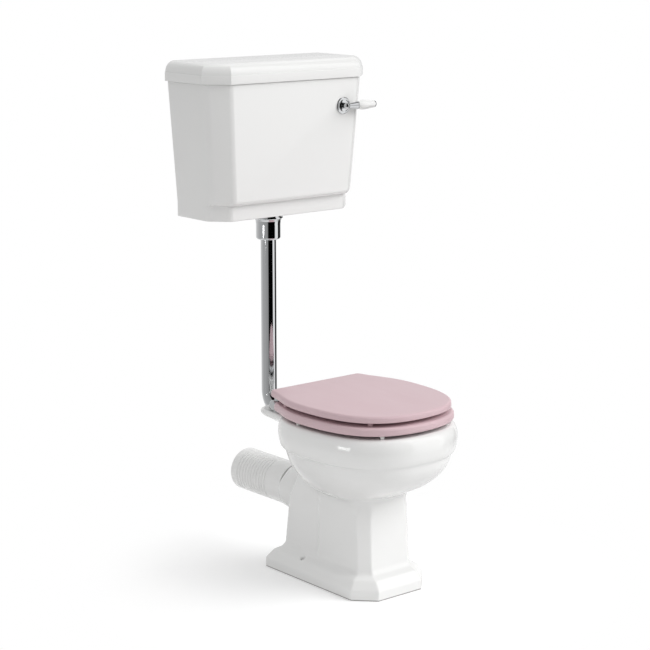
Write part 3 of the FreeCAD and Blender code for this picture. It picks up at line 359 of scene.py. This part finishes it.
plainFinish = dict(stretch=(1, 1, 1), metallic=0, specular=0.5, coat=0, coatRough=0.1)
finishes = {
    "china": dict(
        plainFinish, color=(0.86, 0.86, 0.852, 1), shade=(0.80, 0.80, 0.79, 1), drift=0.25, cloudSize=4,
        rippleSize=14, bump=0.03, bumpDepth=0.002, roughLow=0.06, roughHigh=0.11, markSize=9, coat=0.6,
        coatRough=0.03,
    ),
    "chrome": dict(
        plainFinish, color=(0.72, 0.73, 0.74, 1), shade=(0.62, 0.63, 0.65, 1), drift=0.3, cloudSize=20,
        rippleSize=60, bump=0.01, bumpDepth=0.0005, roughLow=0.03, roughHigh=0.08, markSize=60,
        stretch=(1, 1, 0.15), metallic=1, coatRough=0.03,
    ),
    "seatPaint": dict(
        plainFinish, color=(0.66, 0.490, 0.522, 1), shade=(0.60, 0.44, 0.47, 1), drift=0.3, cloudSize=7,
        rippleSize=420, bump=0.06, bumpDepth=0.0006, roughLow=0.34, roughHigh=0.44, markSize=25,
        stretch=(1, 0.3, 1), specular=0.4, coat=0.1, coatRough=0.3,
    ),
    "milkyBuffer": dict(
        plainFinish, color=(0.80, 0.80, 0.78, 1), shade=(0.70, 0.70, 0.68, 1), drift=0.4, cloudSize=80,
        rippleSize=500, bump=0.05, bumpDepth=0.0004, roughLow=0.3, roughHigh=0.45, markSize=90, specular=0.4,
    ),
    "rosyBuffer": dict(
        plainFinish, color=(0.58, 0.42, 0.45, 1), shade=(0.50, 0.36, 0.38, 1), drift=0.4, cloudSize=80,
        rippleSize=500, bump=0.05, bumpDepth=0.0004, roughLow=0.3, roughHigh=0.45, markSize=90, specular=0.4,
    ),
    "whitePlastic": dict(
        plainFinish, color=(0.74, 0.74, 0.71, 1), shade=(0.64, 0.64, 0.60, 1), drift=0.4, cloudSize=14,
        rippleSize=600, bump=0.08, bumpDepth=0.0005, roughLow=0.38, roughHigh=0.52, markSize=40,
        specular=0.45,
    ),
    "brass": dict(
        plainFinish, color=(0.62, 0.42, 0.17, 1), shade=(0.42, 0.27, 0.10, 1), drift=0.6, cloudSize=40,
        rippleSize=300, bump=0.06, bumpDepth=0.0004, roughLow=0.2, roughHigh=0.38, markSize=80,
        stretch=(1, 0.1, 1), metallic=1,
    ),
    "blackRubber": dict(
        plainFinish, color=(0.025, 0.025, 0.025, 1), shade=(0.05, 0.05, 0.048, 1), drift=0.5, cloudSize=60,
        rippleSize=900, bump=0.15, bumpDepth=0.0005, roughLow=0.6, roughHigh=0.8, markSize=90, specular=0.3,
    ),
    "whiteRubber": dict(
        plainFinish, color=(0.74, 0.74, 0.72, 1), shade=(0.62, 0.62, 0.59, 1), drift=0.5, cloudSize=50,
        rippleSize=700, bump=0.1, bumpDepth=0.0005, roughLow=0.45, roughHigh=0.62, markSize=80, specular=0.35,
    ),
    "steel": dict(
        plainFinish, color=(0.56, 0.56, 0.56, 1), shade=(0.42, 0.42, 0.43, 1), drift=0.5, cloudSize=60,
        rippleSize=300, bump=0.05, bumpDepth=0.0003, roughLow=0.22, roughHigh=0.4, markSize=120,
        stretch=(0.1, 1, 1), metallic=1,
    ),
}
materials = {name: surfaceMaterial(name, finish) for name, finish in finishes.items()}

slotFinish = {
    "china": "china", "chrome": "chrome", "seat_paint": "seatPaint", "clear_buffer": "milkyBuffer",
    "white_plastic": "whitePlastic", "brass": "brass", "rubber": "blackRubber", "white_rubber": "whiteRubber",
    "steel": "steel",
}
for entry in frame["record"]["subparts"]:
    node = nodes[entry["node"]]
    node.data.materials.clear()
    node.data.materials.append(materials[slotFinish[entry["material_slot"]]])
nodes["lid_buffers"].data.materials[0] = materials["rosyBuffer"]
print("materials made")


# studio: floor, lamps and surroundings

studio = {
    "floor": dict(radius=1.7, sides=96, drop=0.0005, color=(0.82, 0.82, 0.82, 1), rough=0.9, specular=0.1),
    "shadowReach": (0.16, 0.68),  # shadows show inside, plain white outside
    "mirrorReach": (0.75, 1.5),  # the floor shows in reflections inside, the room outside
    "floorGlow": 0.25,  # lightens the floor's shadows for the camera
    "skyLight": (0.46, 0.74),  # at the horizon and straight overhead
    "sun": dict(place=(3, -3, 4), towards=(-0.59, 0.59, -0.57), strength=2.12, spread=46),
    "leftWindow": dict(place=(-3.1, -0.02, 0.42), aim=(-0.17, -0.17, 0.38), size=(0.9, 0.75), watts=9.0),
    "slimWindow": dict(place=(-3.1, -0.02, 0.335), aim=(-0.17, -0.17, 0.38), size=(0.45, 0.06), watts=0.7),
    "lampGap": 0.1,  # lamps in one plane would hide each other
    "panels": (  # how bright the room looks in polished metal and glaze, by compass degrees
        (-180, 0.42), (-136, 0.34), (-128, 0.0), (-66, 0.0), (-60, 1.0), (-30, 1.0), (-26, 0.0), (12, 0.0),
        (20, 0.7), (60, 0.8), (85, 0.8), (115, 0.6), (150, 0.45),
    ),
}


def makeFloor():
    size = studio["floor"]
    clearSelection()
    bpy.ops.mesh.primitive_circle_add(
        vertices=size["sides"], radius=size["radius"], fill_type="NGON", location=(0, 0, -size["drop"]),
    )
    floor = bpy.context.object
    floor.name = "floor"
    material, tree, shader = newMaterial("studioFloor")
    shader.inputs["Base Color"].default_value = size["color"]
    shader.inputs["Roughness"].default_value = size["rough"]
    shader.inputs["Specular IOR Level"].default_value = size["specular"]
    place = addNode(tree, "ShaderNodeTexCoord")
    reach = addNode(tree, "ShaderNodeVectorMath", operation="LENGTH")
    fade = addNode(tree, "ShaderNodeMapRange", interpolation_type="SMOOTHSTEP")
    fade.inputs["From Min"].default_value, fade.inputs["From Max"].default_value = studio["shadowReach"]
    leave = addNode(tree, "ShaderNodeMapRange", interpolation_type="SMOOTHSTEP")
    leave.inputs["From Min"].default_value, leave.inputs["From Max"].default_value = studio["mirrorReach"]
    white = addNode(tree, "ShaderNodeEmission")
    glow = addNode(tree, "ShaderNodeEmission")
    rays = addNode(tree, "ShaderNodeLightPath")
    lift = addNode(tree, "ShaderNodeMath", operation="MULTIPLY")
    lift.inputs[1].default_value = studio["floorGlow"]
    share = addNode(tree, "ShaderNodeMath", operation="MULTIPLY")
    near = addNode(tree, "ShaderNodeAddShader")
    mix = addNode(tree, "ShaderNodeMixShader")
    clear = addNode(tree, "ShaderNodeBsdfTransparent")
    mirrored = addNode(tree, "ShaderNodeMath", operation="MULTIPLY")
    opened = addNode(tree, "ShaderNodeMixShader")
    out = tree.nodes["Material Output"]
    link = tree.links.new
    link(place.outputs["Object"], reach.inputs[0])
    link(reach.outputs["Value"], fade.inputs["Value"])
    link(reach.outputs["Value"], leave.inputs["Value"])
    link(rays.outputs["Is Camera Ray"], lift.inputs[0])
    link(rays.outputs["Is Camera Ray"], share.inputs[0])
    link(fade.outputs[0], share.inputs[1])
    link(lift.outputs[0], glow.inputs["Strength"])
    link(shader.outputs[0], near.inputs[0])
    link(glow.outputs[0], near.inputs[1])
    link(share.outputs[0], mix.inputs["Fac"])
    link(near.outputs[0], mix.inputs[1])
    link(white.outputs[0], mix.inputs[2])
    link(rays.outputs["Is Glossy Ray"], mirrored.inputs[0])
    link(leave.outputs[0], mirrored.inputs[1])
    link(mirrored.outputs[0], opened.inputs["Fac"])
    link(mix.outputs[0], opened.inputs[1])
    link(clear.outputs[0], opened.inputs[2])
    link(opened.outputs[0], out.inputs["Surface"])
    floor.data.materials.append(material)


def makeSun():
    lamp = studio["sun"]
    clearSelection()
    bpy.ops.object.light_add(type="SUN", location=lamp["place"])
    light = bpy.context.object
    light.name = "sunLamp"
    light.data.energy = lamp["strength"]
    light.data.angle = math.radians(lamp["spread"])
    light.visible_glossy = False
    light.rotation_euler = Vector(lamp["towards"]).to_track_quat("-Z", "Y").to_euler()


def makeWindow(name, lamp, setBack):
    run = (Vector(lamp["aim"]) - Vector(lamp["place"])).normalized()
    clearSelection()
    bpy.ops.object.light_add(type="AREA", location=Vector(lamp["place"]) - run * setBack)
    light = bpy.context.object
    light.name = name
    light.data.shape = "RECTANGLE"
    light.data.size, light.data.size_y = lamp["size"]
    light.data.energy = lamp["watts"]
    light.rotation_euler = run.to_track_quat("-Z", "Y").to_euler()
    return light


def lightOnly(light, *pieces):
    lit = bpy.data.collections.new(light.name + "Lit")
    for piece in pieces:
        lit.objects.link(piece)
    light.light_linking.receiver_collection = lit


def makeSurroundings():
    world = bpy.data.worlds.new("studio")
    scene.world = world
    world.use_nodes = True
    tree = world.node_tree
    tree.nodes.clear()
    rays = addNode(tree, "ShaderNodeLightPath")
    soft = addNode(tree, "ShaderNodeBackground")
    soft.inputs["Color"].default_value = (1, 1, 1, 1)
    height = addNode(tree, "ShaderNodeMapRange")
    height.inputs["To Min"].default_value, height.inputs["To Max"].default_value = studio["skyLight"]
    plain = addNode(tree, "ShaderNodeBackground")
    plain.inputs["Color"].default_value = (1, 1, 1, 1)
    mirrored = addNode(tree, "ShaderNodeBackground")
    place = addNode(tree, "ShaderNodeTexCoord")
    split = addNode(tree, "ShaderNodeSeparateXYZ")
    turn = addNode(tree, "ShaderNodeMath", operation="ARCTAN2")
    spread = addNode(tree, "ShaderNodeMapRange")
    spread.inputs["From Min"].default_value = -math.pi
    spread.inputs["From Max"].default_value = math.pi
    bands = addNode(tree, "ShaderNodeValToRGB")
    ramp = bands.color_ramp
    for degrees, grey in studio["panels"]:
        spot = ramp.elements.new((degrees + 180) / 360)
        spot.color = (grey, grey, grey, 1)
    ramp.elements.remove(ramp.elements[len(ramp.elements) - 1])  # the two a new ramp starts with
    ramp.elements.remove(ramp.elements[0])
    mixGloss = addNode(tree, "ShaderNodeMixShader")
    mixPlain = addNode(tree, "ShaderNodeMixShader")
    out = addNode(tree, "ShaderNodeOutputWorld")
    link = tree.links.new
    link(place.outputs["Generated"], split.inputs[0])
    link(split.outputs["Z"], height.inputs["Value"])
    link(height.outputs[0], soft.inputs["Strength"])
    link(split.outputs["Y"], turn.inputs[0])
    link(split.outputs["X"], turn.inputs[1])
    link(turn.outputs[0], spread.inputs["Value"])
    link(spread.outputs[0], bands.inputs["Fac"])
    link(bands.outputs["Color"], mirrored.inputs["Color"])
    link(rays.outputs["Is Glossy Ray"], mixGloss.inputs["Fac"])
    link(soft.outputs[0], mixGloss.inputs[1])
    link(mirrored.outputs[0], mixGloss.inputs[2])
    link(rays.outputs["Is Camera Ray"], mixPlain.inputs["Fac"])
    link(mixGloss.outputs[0], mixPlain.inputs[1])
    link(plain.outputs[0], mixPlain.inputs[2])
    link(mixPlain.outputs[0], out.inputs["Surface"])


makeFloor()
makeSun()
leftFill = makeWindow("leftFill", studio["leftWindow"], studio["lampGap"])  # lights every piece softly
leftFill.visible_glossy = False
leftGlint = makeWindow("leftGlint", studio["leftWindow"], 0)  # shows only as a reflection
leftGlint.visible_diffuse = False
slimGlint = makeWindow("slimGlint", studio["slimWindow"], -studio["lampGap"])  # the same for the flush pipe
slimGlint.visible_diffuse = False
makeSurroundings()
print("studio set")


# modelled pieces

def boxOf(nodeName):
    corners = [nodes[nodeName].matrix_world @ Vector(corner) for corner in nodes[nodeName].bound_box]
    low = Vector([min(corner[axis] for corner in corners) for axis in range(3)])
    high = Vector([max(corner[axis] for corner in corners) for axis in range(3)])
    return low, high


def hand(piece, finish, body, slot, *replaced):
    piece.data.materials.clear()
    piece.data.materials.append(materials[finish])
    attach(piece, body)
    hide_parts(*replaced)
    print("made", piece.name, len(piece.data.polygons), "faces")


def standing(run):
    return abs(run.z) > upright


cisternLow, cisternHigh = boxOf("cistern_body")
cisternSet = {
    "bandHeight": 0.037,
    "footHalf": 0.213,
    "footFront": 0.209,
    "bandFront": 0.226,
    "corner": 0.044,
    "bandCorner": 0.040,
    "uprightRound": 0.008,
    "sideRound": 0.014,
    "ledgeRound": 0.013,
    "rimRound": 0.003,
    "wall": 0.010,
    "floor": 0.012,
    "insideRound": 0.010,
    "steps": dict(side=8, upright=5, ledge=8, rim=3, inside=4),  # how finely each edge is rounded
    "bandOverlap": 1.2,  # how far the band runs up behind the ledge, in ledge rounds
    "smoothAngle": 35,
    "drain": dict(place=(0, 0.306), radius=0.0249),
    "lever": dict(place=(0.146, 1.101), radius=0.0084),
    "inlet": dict(place=(0.340, 1.076), radius=0.011),
    "fixing": dict(place=(0.150, 1.106), radius=0.005),
}


def cutFrontCorners(piece, frontY, corner):
    startEdit(piece, "EDGE")
    pickEdges(piece, lambda middle, run: standing(run) and middle.y < frontY + within["near"])
    bpy.ops.mesh.bevel(offset=corner, segments=1, affect="EDGES")
    endEdit()


def roundUprights(piece, fromY, toY, width, steps):
    startEdit(piece, "EDGE")
    pickEdges(piece, lambda middle, run: standing(run) and fromY < middle.y < toY)
    bpy.ops.mesh.bevel(offset=width, segments=steps, affect="EDGES")
    endEdit()


def taperFoot(piece, footZ, backY, shareX, shareY):
    startEdit(piece, "VERT")
    pickVerts(piece, lambda place: place.z < footZ + within["near"])
    bpy.ops.transform.resize(value=(shareX, shareY, 1), center_override=(0, backY, footZ))
    endEdit()


def makeCistern():
    size = cisternSet
    steps = size["steps"]
    half, front, back = cisternHigh.x, cisternLow.y, cisternHigh.y
    base, top = cisternLow.z, cisternHigh.z
    bandTop = base + size["bandHeight"]
    shareX = size["footHalf"] / half
    shareY = (back - size["footFront"]) / (back - front)
    body = blockBetween("cisternBody", (-half, front, bandTop), (half, back, top))
    cutFrontCorners(body, front, size["corner"])
    taperFoot(body, bandTop, back, shareX, shareY)
    bendY = size["footFront"] + size["corner"] / 2
    roundUprights(body, bendY, back - within["back"], size["sideRound"], steps["side"])
    roundUprights(body, 0, bendY - size["corner"] / 4, size["uprightRound"], steps["upright"])
    ledgeY = size["footFront"] + size["corner"] + within["near"]
    ledgeZ = bandTop + within["near"]
    startEdit(body, "EDGE")
    pickEdges(body, lambda middle, run: middle.z < ledgeZ and not standing(run) and middle.y < ledgeY)
    bpy.ops.mesh.bevel(offset=size["ledgeRound"], segments=steps["ledge"], affect="EDGES")
    pickEdges(body, lambda middle, run: middle.z > top - within["near"] and middle.y < back - within["near"])
    bpy.ops.mesh.bevel(offset=size["rimRound"], segments=steps["rim"], affect="EDGES")
    endEdit()
    band = blockBetween(
        "cisternBand", (-size["footHalf"], size["bandFront"], base),
        (size["footHalf"], back, bandTop + size["ledgeRound"] * size["bandOverlap"]),
    )
    cutFrontCorners(band, size["bandFront"], size["bandCorner"])
    roundUprights(band, 0, back - within["back"], size["uprightRound"], steps["upright"])
    startEdit(band, "EDGE")
    pickEdges(band, lambda middle, run: middle.z < base + within["near"] and middle.y < back - within["near"])
    bpy.ops.mesh.bevel(offset=size["rimRound"], segments=steps["rim"], affect="EDGES")
    endEdit()
    combine(body, band, "UNION")
    wall = size["wall"]
    inside = blockBetween(
        "cisternInside", (-half + wall, front + wall, base + size["floor"]),
        (half - wall, back - wall, top + wall),
    )
    cutFrontCorners(inside, front + wall, size["corner"] - wall / 2)
    taperFoot(
        inside, base + size["floor"], back - wall, (size["footHalf"] - wall) / (half - wall),
        (back - size["bandFront"] - 2 * wall) / (back - front - 2 * wall),
    )
    roundUprights(inside, 0, back - within["back"], size["insideRound"], steps["inside"])
    combine(body, inside, "DIFFERENCE")
    drain, lever, inlet, fixing = size["drain"], size["lever"], size["inlet"], size["fixing"]
    x, y = drain["place"]
    holes = [rodBetween("hole", (x, y, base - wall), (x, y, base + 2 * size["floor"]), drain["radius"])]
    x, z = lever["place"]
    holes.append(rodBetween("hole", (x, front - wall, z), (x, front + 4 * wall, z), lever["radius"]))
    y, z = inlet["place"]
    holes.append(rodBetween("hole", (half - 4 * wall, y, z), (half + wall, y, z), inlet["radius"]))
    x, z = fixing["place"]
    for side in (-1, 1):
        start, end = (side * x, back - 2 * wall, z), (side * x, back + wall, z)
        holes.append(rodBetween("hole", start, end, fixing["radius"]))
    for hole in holes:
        combine(body, hole, "DIFFERENCE")
    smoothShade(body, size["smoothAngle"])
    hand(body, "china", "pan_and_cistern", "china", "cistern_body")


lidLow, lidHigh = boxOf("cistern_lid")
lidSet = {
    "corner": 0.049,
    "skirt": 0.021,
    "ledge": 0.0015,
    "softEdge": 0.0022,
    "lipDrop": 0.011,
    "lipWall": 0.007,
    "lipHalf": 0.223,
    "lipFront": 0.2075,
    "lipBack": 0.371,
    "shell": 0.011,
    "topShare": 0.985,  # how much of the height over the ledge is rounded
    "hollow": dict(shareX=0.955, shareY=0.88, fromBack=0.04),  # the hollow narrows upwards
    "steps": dict(top=14, soft=3),
    "softAngle": 28,
    "smoothAngle": 30,
}


def makeCisternLid():
    size = lidSet
    half, front, back, top = lidHigh.x, lidLow.y, lidHigh.y, lidHigh.z
    base = lidLow.z + size["lipDrop"]
    shelf = base + size["skirt"]
    lid = blockBetween("cisternLid", (-half, front, base), (half, back, shelf))
    cutFrontCorners(lid, front, size["corner"])
    startEdit(lid, "FACE")
    pickFaces(lid, lambda middle, normal: normal.z > upright)
    bpy.ops.mesh.extrude_region_move(TRANSFORM_OT_translate={"value": (0, 0, 0)})
    ledge = size["ledge"]
    shares = ((half - ledge) / half, (back - front - ledge) / (back - front), 1)
    bpy.ops.transform.resize(value=shares, center_override=(0, back, shelf))
    bpy.ops.mesh.extrude_region_move(TRANSFORM_OT_translate={"value": (0, 0, top - shelf)})
    bpy.ops.mesh.select_mode(type="EDGE")
    pickEdges(lid, lambda middle, run: middle.z > top - within["fine"] and middle.y < back - within["fine"])
    bpy.ops.mesh.bevel(offset=(top - shelf) * size["topShare"], segments=size["steps"]["top"], affect="EDGES")
    bpy.ops.mesh.select_mode(type="FACE")
    pickFaces(lid, lambda middle, normal: normal.z < -upright)
    bpy.ops.mesh.inset(thickness=back - size["lipBack"])
    insetHalf = half - (back - size["lipBack"])
    insetFront = front + back - size["lipBack"]
    lipDepth = size["lipBack"] - size["lipFront"]
    shares = (size["lipHalf"] / insetHalf, lipDepth / (size["lipBack"] - insetFront), 1)
    bpy.ops.transform.resize(value=shares, center_override=(0, size["lipBack"], base))
    bpy.ops.mesh.extrude_region_move(TRANSFORM_OT_translate={"value": (0, 0, -size["lipDrop"])})
    bpy.ops.mesh.inset(thickness=size["lipWall"])
    hollow = size["hollow"]
    halfDeep = (top - size["shell"] - lidLow.z) / 2
    for stretch in ("lower", "upper"):
        bpy.ops.mesh.extrude_region_move(TRANSFORM_OT_translate={"value": (0, 0, halfDeep)})
    shares = (hollow["shareX"], hollow["shareY"], 1)
    bpy.ops.transform.resize(value=shares, center_override=(0, back - hollow["fromBack"], top))
    endEdit()
    finishWith(
        lid, "BEVEL", width=size["softEdge"], segments=size["steps"]["soft"], limit_method="ANGLE",
        angle_limit=math.radians(size["softAngle"]),
    )
    smoothShade(lid, size["smoothAngle"])
    hand(lid, "china", "tank_lid", "china", "cistern_lid")


panSet = {
    "grain": 0.003,  # size of the grid the clay is moulded on
    "softening": dict(passes=4, crisp=0.15, low=0.165, high=0.195),  # the foot keeps its edges crisp
    "blend": dict(low=0.194, high=0.300, fade=0.02, passes=90),  # where the bowl runs into the foot
    "press": 0.5,  # how far each smoothing pass moves a place
    "axisY": -0.036,
    "keep": 0.5,  # share of the faces that stays, the inner ones going first
    "smoothAngle": 180,
}


def keepStandingShell(piece):
    startEdit(piece, "VERT")
    lowest = min(vert.co.z for vert in piece.data.vertices)
    pickVerts(piece, lambda place: place.z < lowest + within["near"])
    bpy.ops.mesh.select_linked()
    bpy.ops.mesh.select_all(action="INVERT")
    bpy.ops.mesh.delete(type="VERT")
    endEdit()


def markSoft(piece):
    soft = panSet["softening"]
    group = piece.vertex_groups.new(name="soft")
    for vert in piece.data.vertices:
        rise = (vert.co.z - soft["low"]) / (soft["high"] - soft["low"])
        group.add([vert.index], min(max(rise, soft["crisp"]), 1), "REPLACE")


def markBlend(piece):
    blend = panSet["blend"]
    group = piece.vertex_groups.new(name="blend")
    for vert in piece.data.vertices:
        inside = min(vert.co.z - blend["low"], blend["high"] - vert.co.z)
        group.add([vert.index], min(max(inside / blend["fade"], 0), 1), "REPLACE")


def markInner(piece):  # a place is inner where the pan itself stands further out from its axis
    group = piece.vertex_groups.new(name="inner")
    tree = BVHTree.FromObject(piece, bpy.context.evaluated_depsgraph_get())
    for vert in piece.data.vertices:
        outward = Vector((vert.co.x, vert.co.y - panSet["axisY"], 0)).normalized()
        hit = tree.ray_cast(vert.co + outward * panSet["grain"] * 2, outward)[0]
        group.add([vert.index], 0 if hit is None else 1, "REPLACE")


def makePan():
    pan = copyOfNode("pan", "panBowl")
    lower = [copyOfNode(name, name) for name in ("pan_foot", "pan_plinth")]
    takeHold(pan)
    for piece in lower:
        piece.select_set(True)
    bpy.ops.object.join()
    finishWith(pan, "REMESH", mode="VOXEL", voxel_size=panSet["grain"])
    keepStandingShell(pan)
    markSoft(pan)
    soft, blend = panSet["softening"], panSet["blend"]
    finishWith(pan, "SMOOTH", factor=panSet["press"], iterations=soft["passes"], vertex_group="soft")
    markBlend(pan)
    finishWith(pan, "SMOOTH", factor=panSet["press"], iterations=blend["passes"], vertex_group="blend")
    markInner(pan)
    finishWith(pan, "DECIMATE", ratio=panSet["keep"], vertex_group="inner", vertex_group_factor=1)
    smoothShade(pan, panSet["smoothAngle"])
    hand(pan, "china", "pan_and_cistern", "china", "pan", "pan_foot", "pan_plinth")
    return pan


seatShape = {  # what lid and ring share
    "widestY": -0.036,
    "frontPull": 0.7056,  # how square the front curve is
    "cornerInset": 0.004,
    "heelPull": (0.011, 0.02),
    "outlineSteps": 14,
    "topSteps": 7,
    "sharpAngle": 1.0,
    "smoothAngle": 40,
}
seatLidLow, seatLidHigh = boxOf("seat_lid")
seatLidSet = {
    "sidePull": 0.075,
    "hip": (0.142, 0.107),  # where the side ends and the rear corner starts
    "hipPull": (0.008, 0.035),
    "heel": 0.123,
    "topRound": 0.0068,
    "underRound": 0.003,
    "underSteps": 4,
}
seatRingLow, seatRingHigh = boxOf("seat_ring")
seatRingSet = {
    "sidePull": 0.060,
    "hip": (0.1505, 0.089),
    "hipPull": (0.009, 0.030),
    "heel": 0.1285,
    "topRound": 0.0072,
    "underRound": 0.006,
    "underSteps": 5,
    "hole": dict(
        half=0.114, front=-0.201, rear=0.049, pull=0.60, sidePull=0.030, corner=(0.78, 0.70),
        cornerBefore=(0.014, 0.018), cornerAfter=(0.010, 0.013), heel=0.42, heelPull=(0.016, 0.012),
    ),
    "holeUnderRound": 0.002,
    "holeUnderSteps": 3,
}


def pickSharp(piece, wanted):  # edges between faces that meet at a clear angle
    work = bmesh.from_edit_mesh(piece.data)
    for edge in work.edges:
        middle = (edge.verts[0].co + edge.verts[1].co) / 2
        sharp = len(edge.link_faces) == 2 and edge.calc_face_angle() > seatShape["sharpAngle"]
        edge.select_set(sharp and wanted(middle))
    work.select_flush_mode()
    bmesh.update_edit_mesh(piece.data)


def outlineLoop(name, points, z):  # points: place, handle before, handle after
    clearSelection()
    bpy.ops.curve.primitive_bezier_circle_add(location=(0, 0, 0))
    piece = bpy.context.object
    piece.name = name
    shape = piece.data
    shape.dimensions = "2D"
    shape.fill_mode = "NONE"
    shape.resolution_u = seatShape["outlineSteps"]
    spline = shape.splines[0]
    spline.bezier_points.add(len(points) - len(spline.bezier_points))
    for spot, (place, before, after) in zip(spline.bezier_points, points):
        spot.handle_left_type = spot.handle_right_type = "FREE"
        spot.co = (*place, 0)
        spot.handle_left = (*before, 0)
        spot.handle_right = (*after, 0)
    piece.location.z = z
    takeHold(piece)
    bpy.ops.object.convert(target="MESH")
    bakePlace(piece)
    return piece


def bothSides(nose, right):
    left = [((-x, y), (-ax, ay), (-bx, by)) for (x, y), (bx, by), (ax, ay) in reversed(right)]
    return [nose] + right + left


def seatOutline(size, low, high):
    half, front, rear, widest = high.x, low.y, high.y, seatShape["widestY"]
    pull = seatShape["frontPull"]
    hipX, hipY = size["hip"]
    pullX, pullY = size["hipPull"]
    heel, inset = size["heel"], seatShape["cornerInset"]
    outer, inner = seatShape["heelPull"]
    return bothSides(((0, front), (-half * pull, front), (half * pull, front)), [
        ((half, widest), (half, widest + (front - widest) * pull), (half, widest + size["sidePull"])),
        ((hipX, hipY), (hipX + pullX, hipY - pullY), (hipX - inset, rear - inset)),
        ((heel, rear), (heel + outer, rear), (heel - inner, rear)),
    ])


def holeOutline(size):
    half, front, rear, pull = size["half"], size["front"], size["rear"], size["pull"]
    widest = seatShape["widestY"]
    shareX, shareY = size["corner"]
    cornerX, cornerY = half * shareX, widest + (rear - widest) * shareY
    beforeX, beforeY = size["cornerBefore"]
    afterX, afterY = size["cornerAfter"]
    heel = half * size["heel"]
    outer, inner = size["heelPull"]
    return bothSides(((0, front), (-half * pull, front), (half * pull, front)), [
        ((half, widest), (half, widest + (front - widest) * pull), (half, widest + size["sidePull"])),
        ((cornerX, cornerY), (cornerX + beforeX, cornerY - beforeY), (cornerX - afterX, cornerY + afterY)),
        ((heel, rear), (heel + outer, rear), (heel - inner, rear)),
    ])


def roundSharp(piece, wanted, width, steps):
    bpy.ops.mesh.select_mode(type="EDGE")
    pickSharp(piece, wanted)
    bpy.ops.mesh.bevel(offset=width, segments=steps, affect="EDGES")


def thicken(depth):
    bpy.ops.mesh.select_all(action="SELECT")
    bpy.ops.mesh.extrude_region_move(TRANSFORM_OT_translate={"value": (0, 0, depth)})
    bpy.ops.mesh.select_all(action="SELECT")
    bpy.ops.mesh.normals_make_consistent(inside=False)


def makeSeatLid():
    size, fine = seatLidSet, within["fine"]
    low, high = seatLidLow.z, seatLidHigh.z
    lid = outlineLoop("seatLid", seatOutline(size, seatLidLow, seatLidHigh), low)
    startEdit(lid, "EDGE")
    bpy.ops.mesh.select_all(action="SELECT")
    bpy.ops.mesh.edge_face_add()
    thicken(high - low)
    roundSharp(lid, lambda middle: middle.z > high - fine, size["topRound"], seatShape["topSteps"])
    roundSharp(lid, lambda middle: middle.z < low + fine, size["underRound"], size["underSteps"])
    endEdit()
    smoothShade(lid, seatShape["smoothAngle"])
    hand(lid, "seatPaint", "lid", "seat_paint", "seat_lid")


def makeSeatRing():
    size, fine = seatRingSet, within["fine"]
    hole = size["hole"]
    low, high = seatRingLow.z, seatRingHigh.z
    ring = outlineLoop("seatRing", seatOutline(size, seatRingLow, seatRingHigh), low)
    mouth = outlineLoop("seatHole", holeOutline(hole), low)
    takeHold(ring)
    mouth.select_set(True)
    bpy.ops.object.join()
    startEdit(ring, "EDGE")
    bpy.ops.mesh.select_all(action="SELECT")
    bpy.ops.mesh.bridge_edge_loops()
    thicken(high - low)

    def inMouth(middle):
        margin = within["mouth"]
        across = abs(middle.x) < hole["half"] + margin
        return across and hole["front"] - margin < middle.y < hole["rear"] + margin

    def underOutside(middle):
        return middle.z < low + fine and not inMouth(middle)

    def underMouth(middle):
        return middle.z < low + fine and inMouth(middle)

    roundSharp(ring, lambda middle: middle.z > high - fine, size["topRound"], seatShape["topSteps"])
    roundSharp(ring, underOutside, size["underRound"], size["underSteps"])
    roundSharp(ring, underMouth, size["holeUnderRound"], size["holeUnderSteps"])
    endEdit()
    smoothShade(ring, seatShape["smoothAngle"])
    hand(ring, "seatPaint", "ring", "seat_paint", "seat_ring")


makeCistern()
makeCisternLid()
pan = makePan()
makeSeatLid()
makeSeatRing()
lightOnly(leftGlint, pan)
lightOnly(slimGlint, nodes["flush_pipe"], nodes["coupling_nut"])
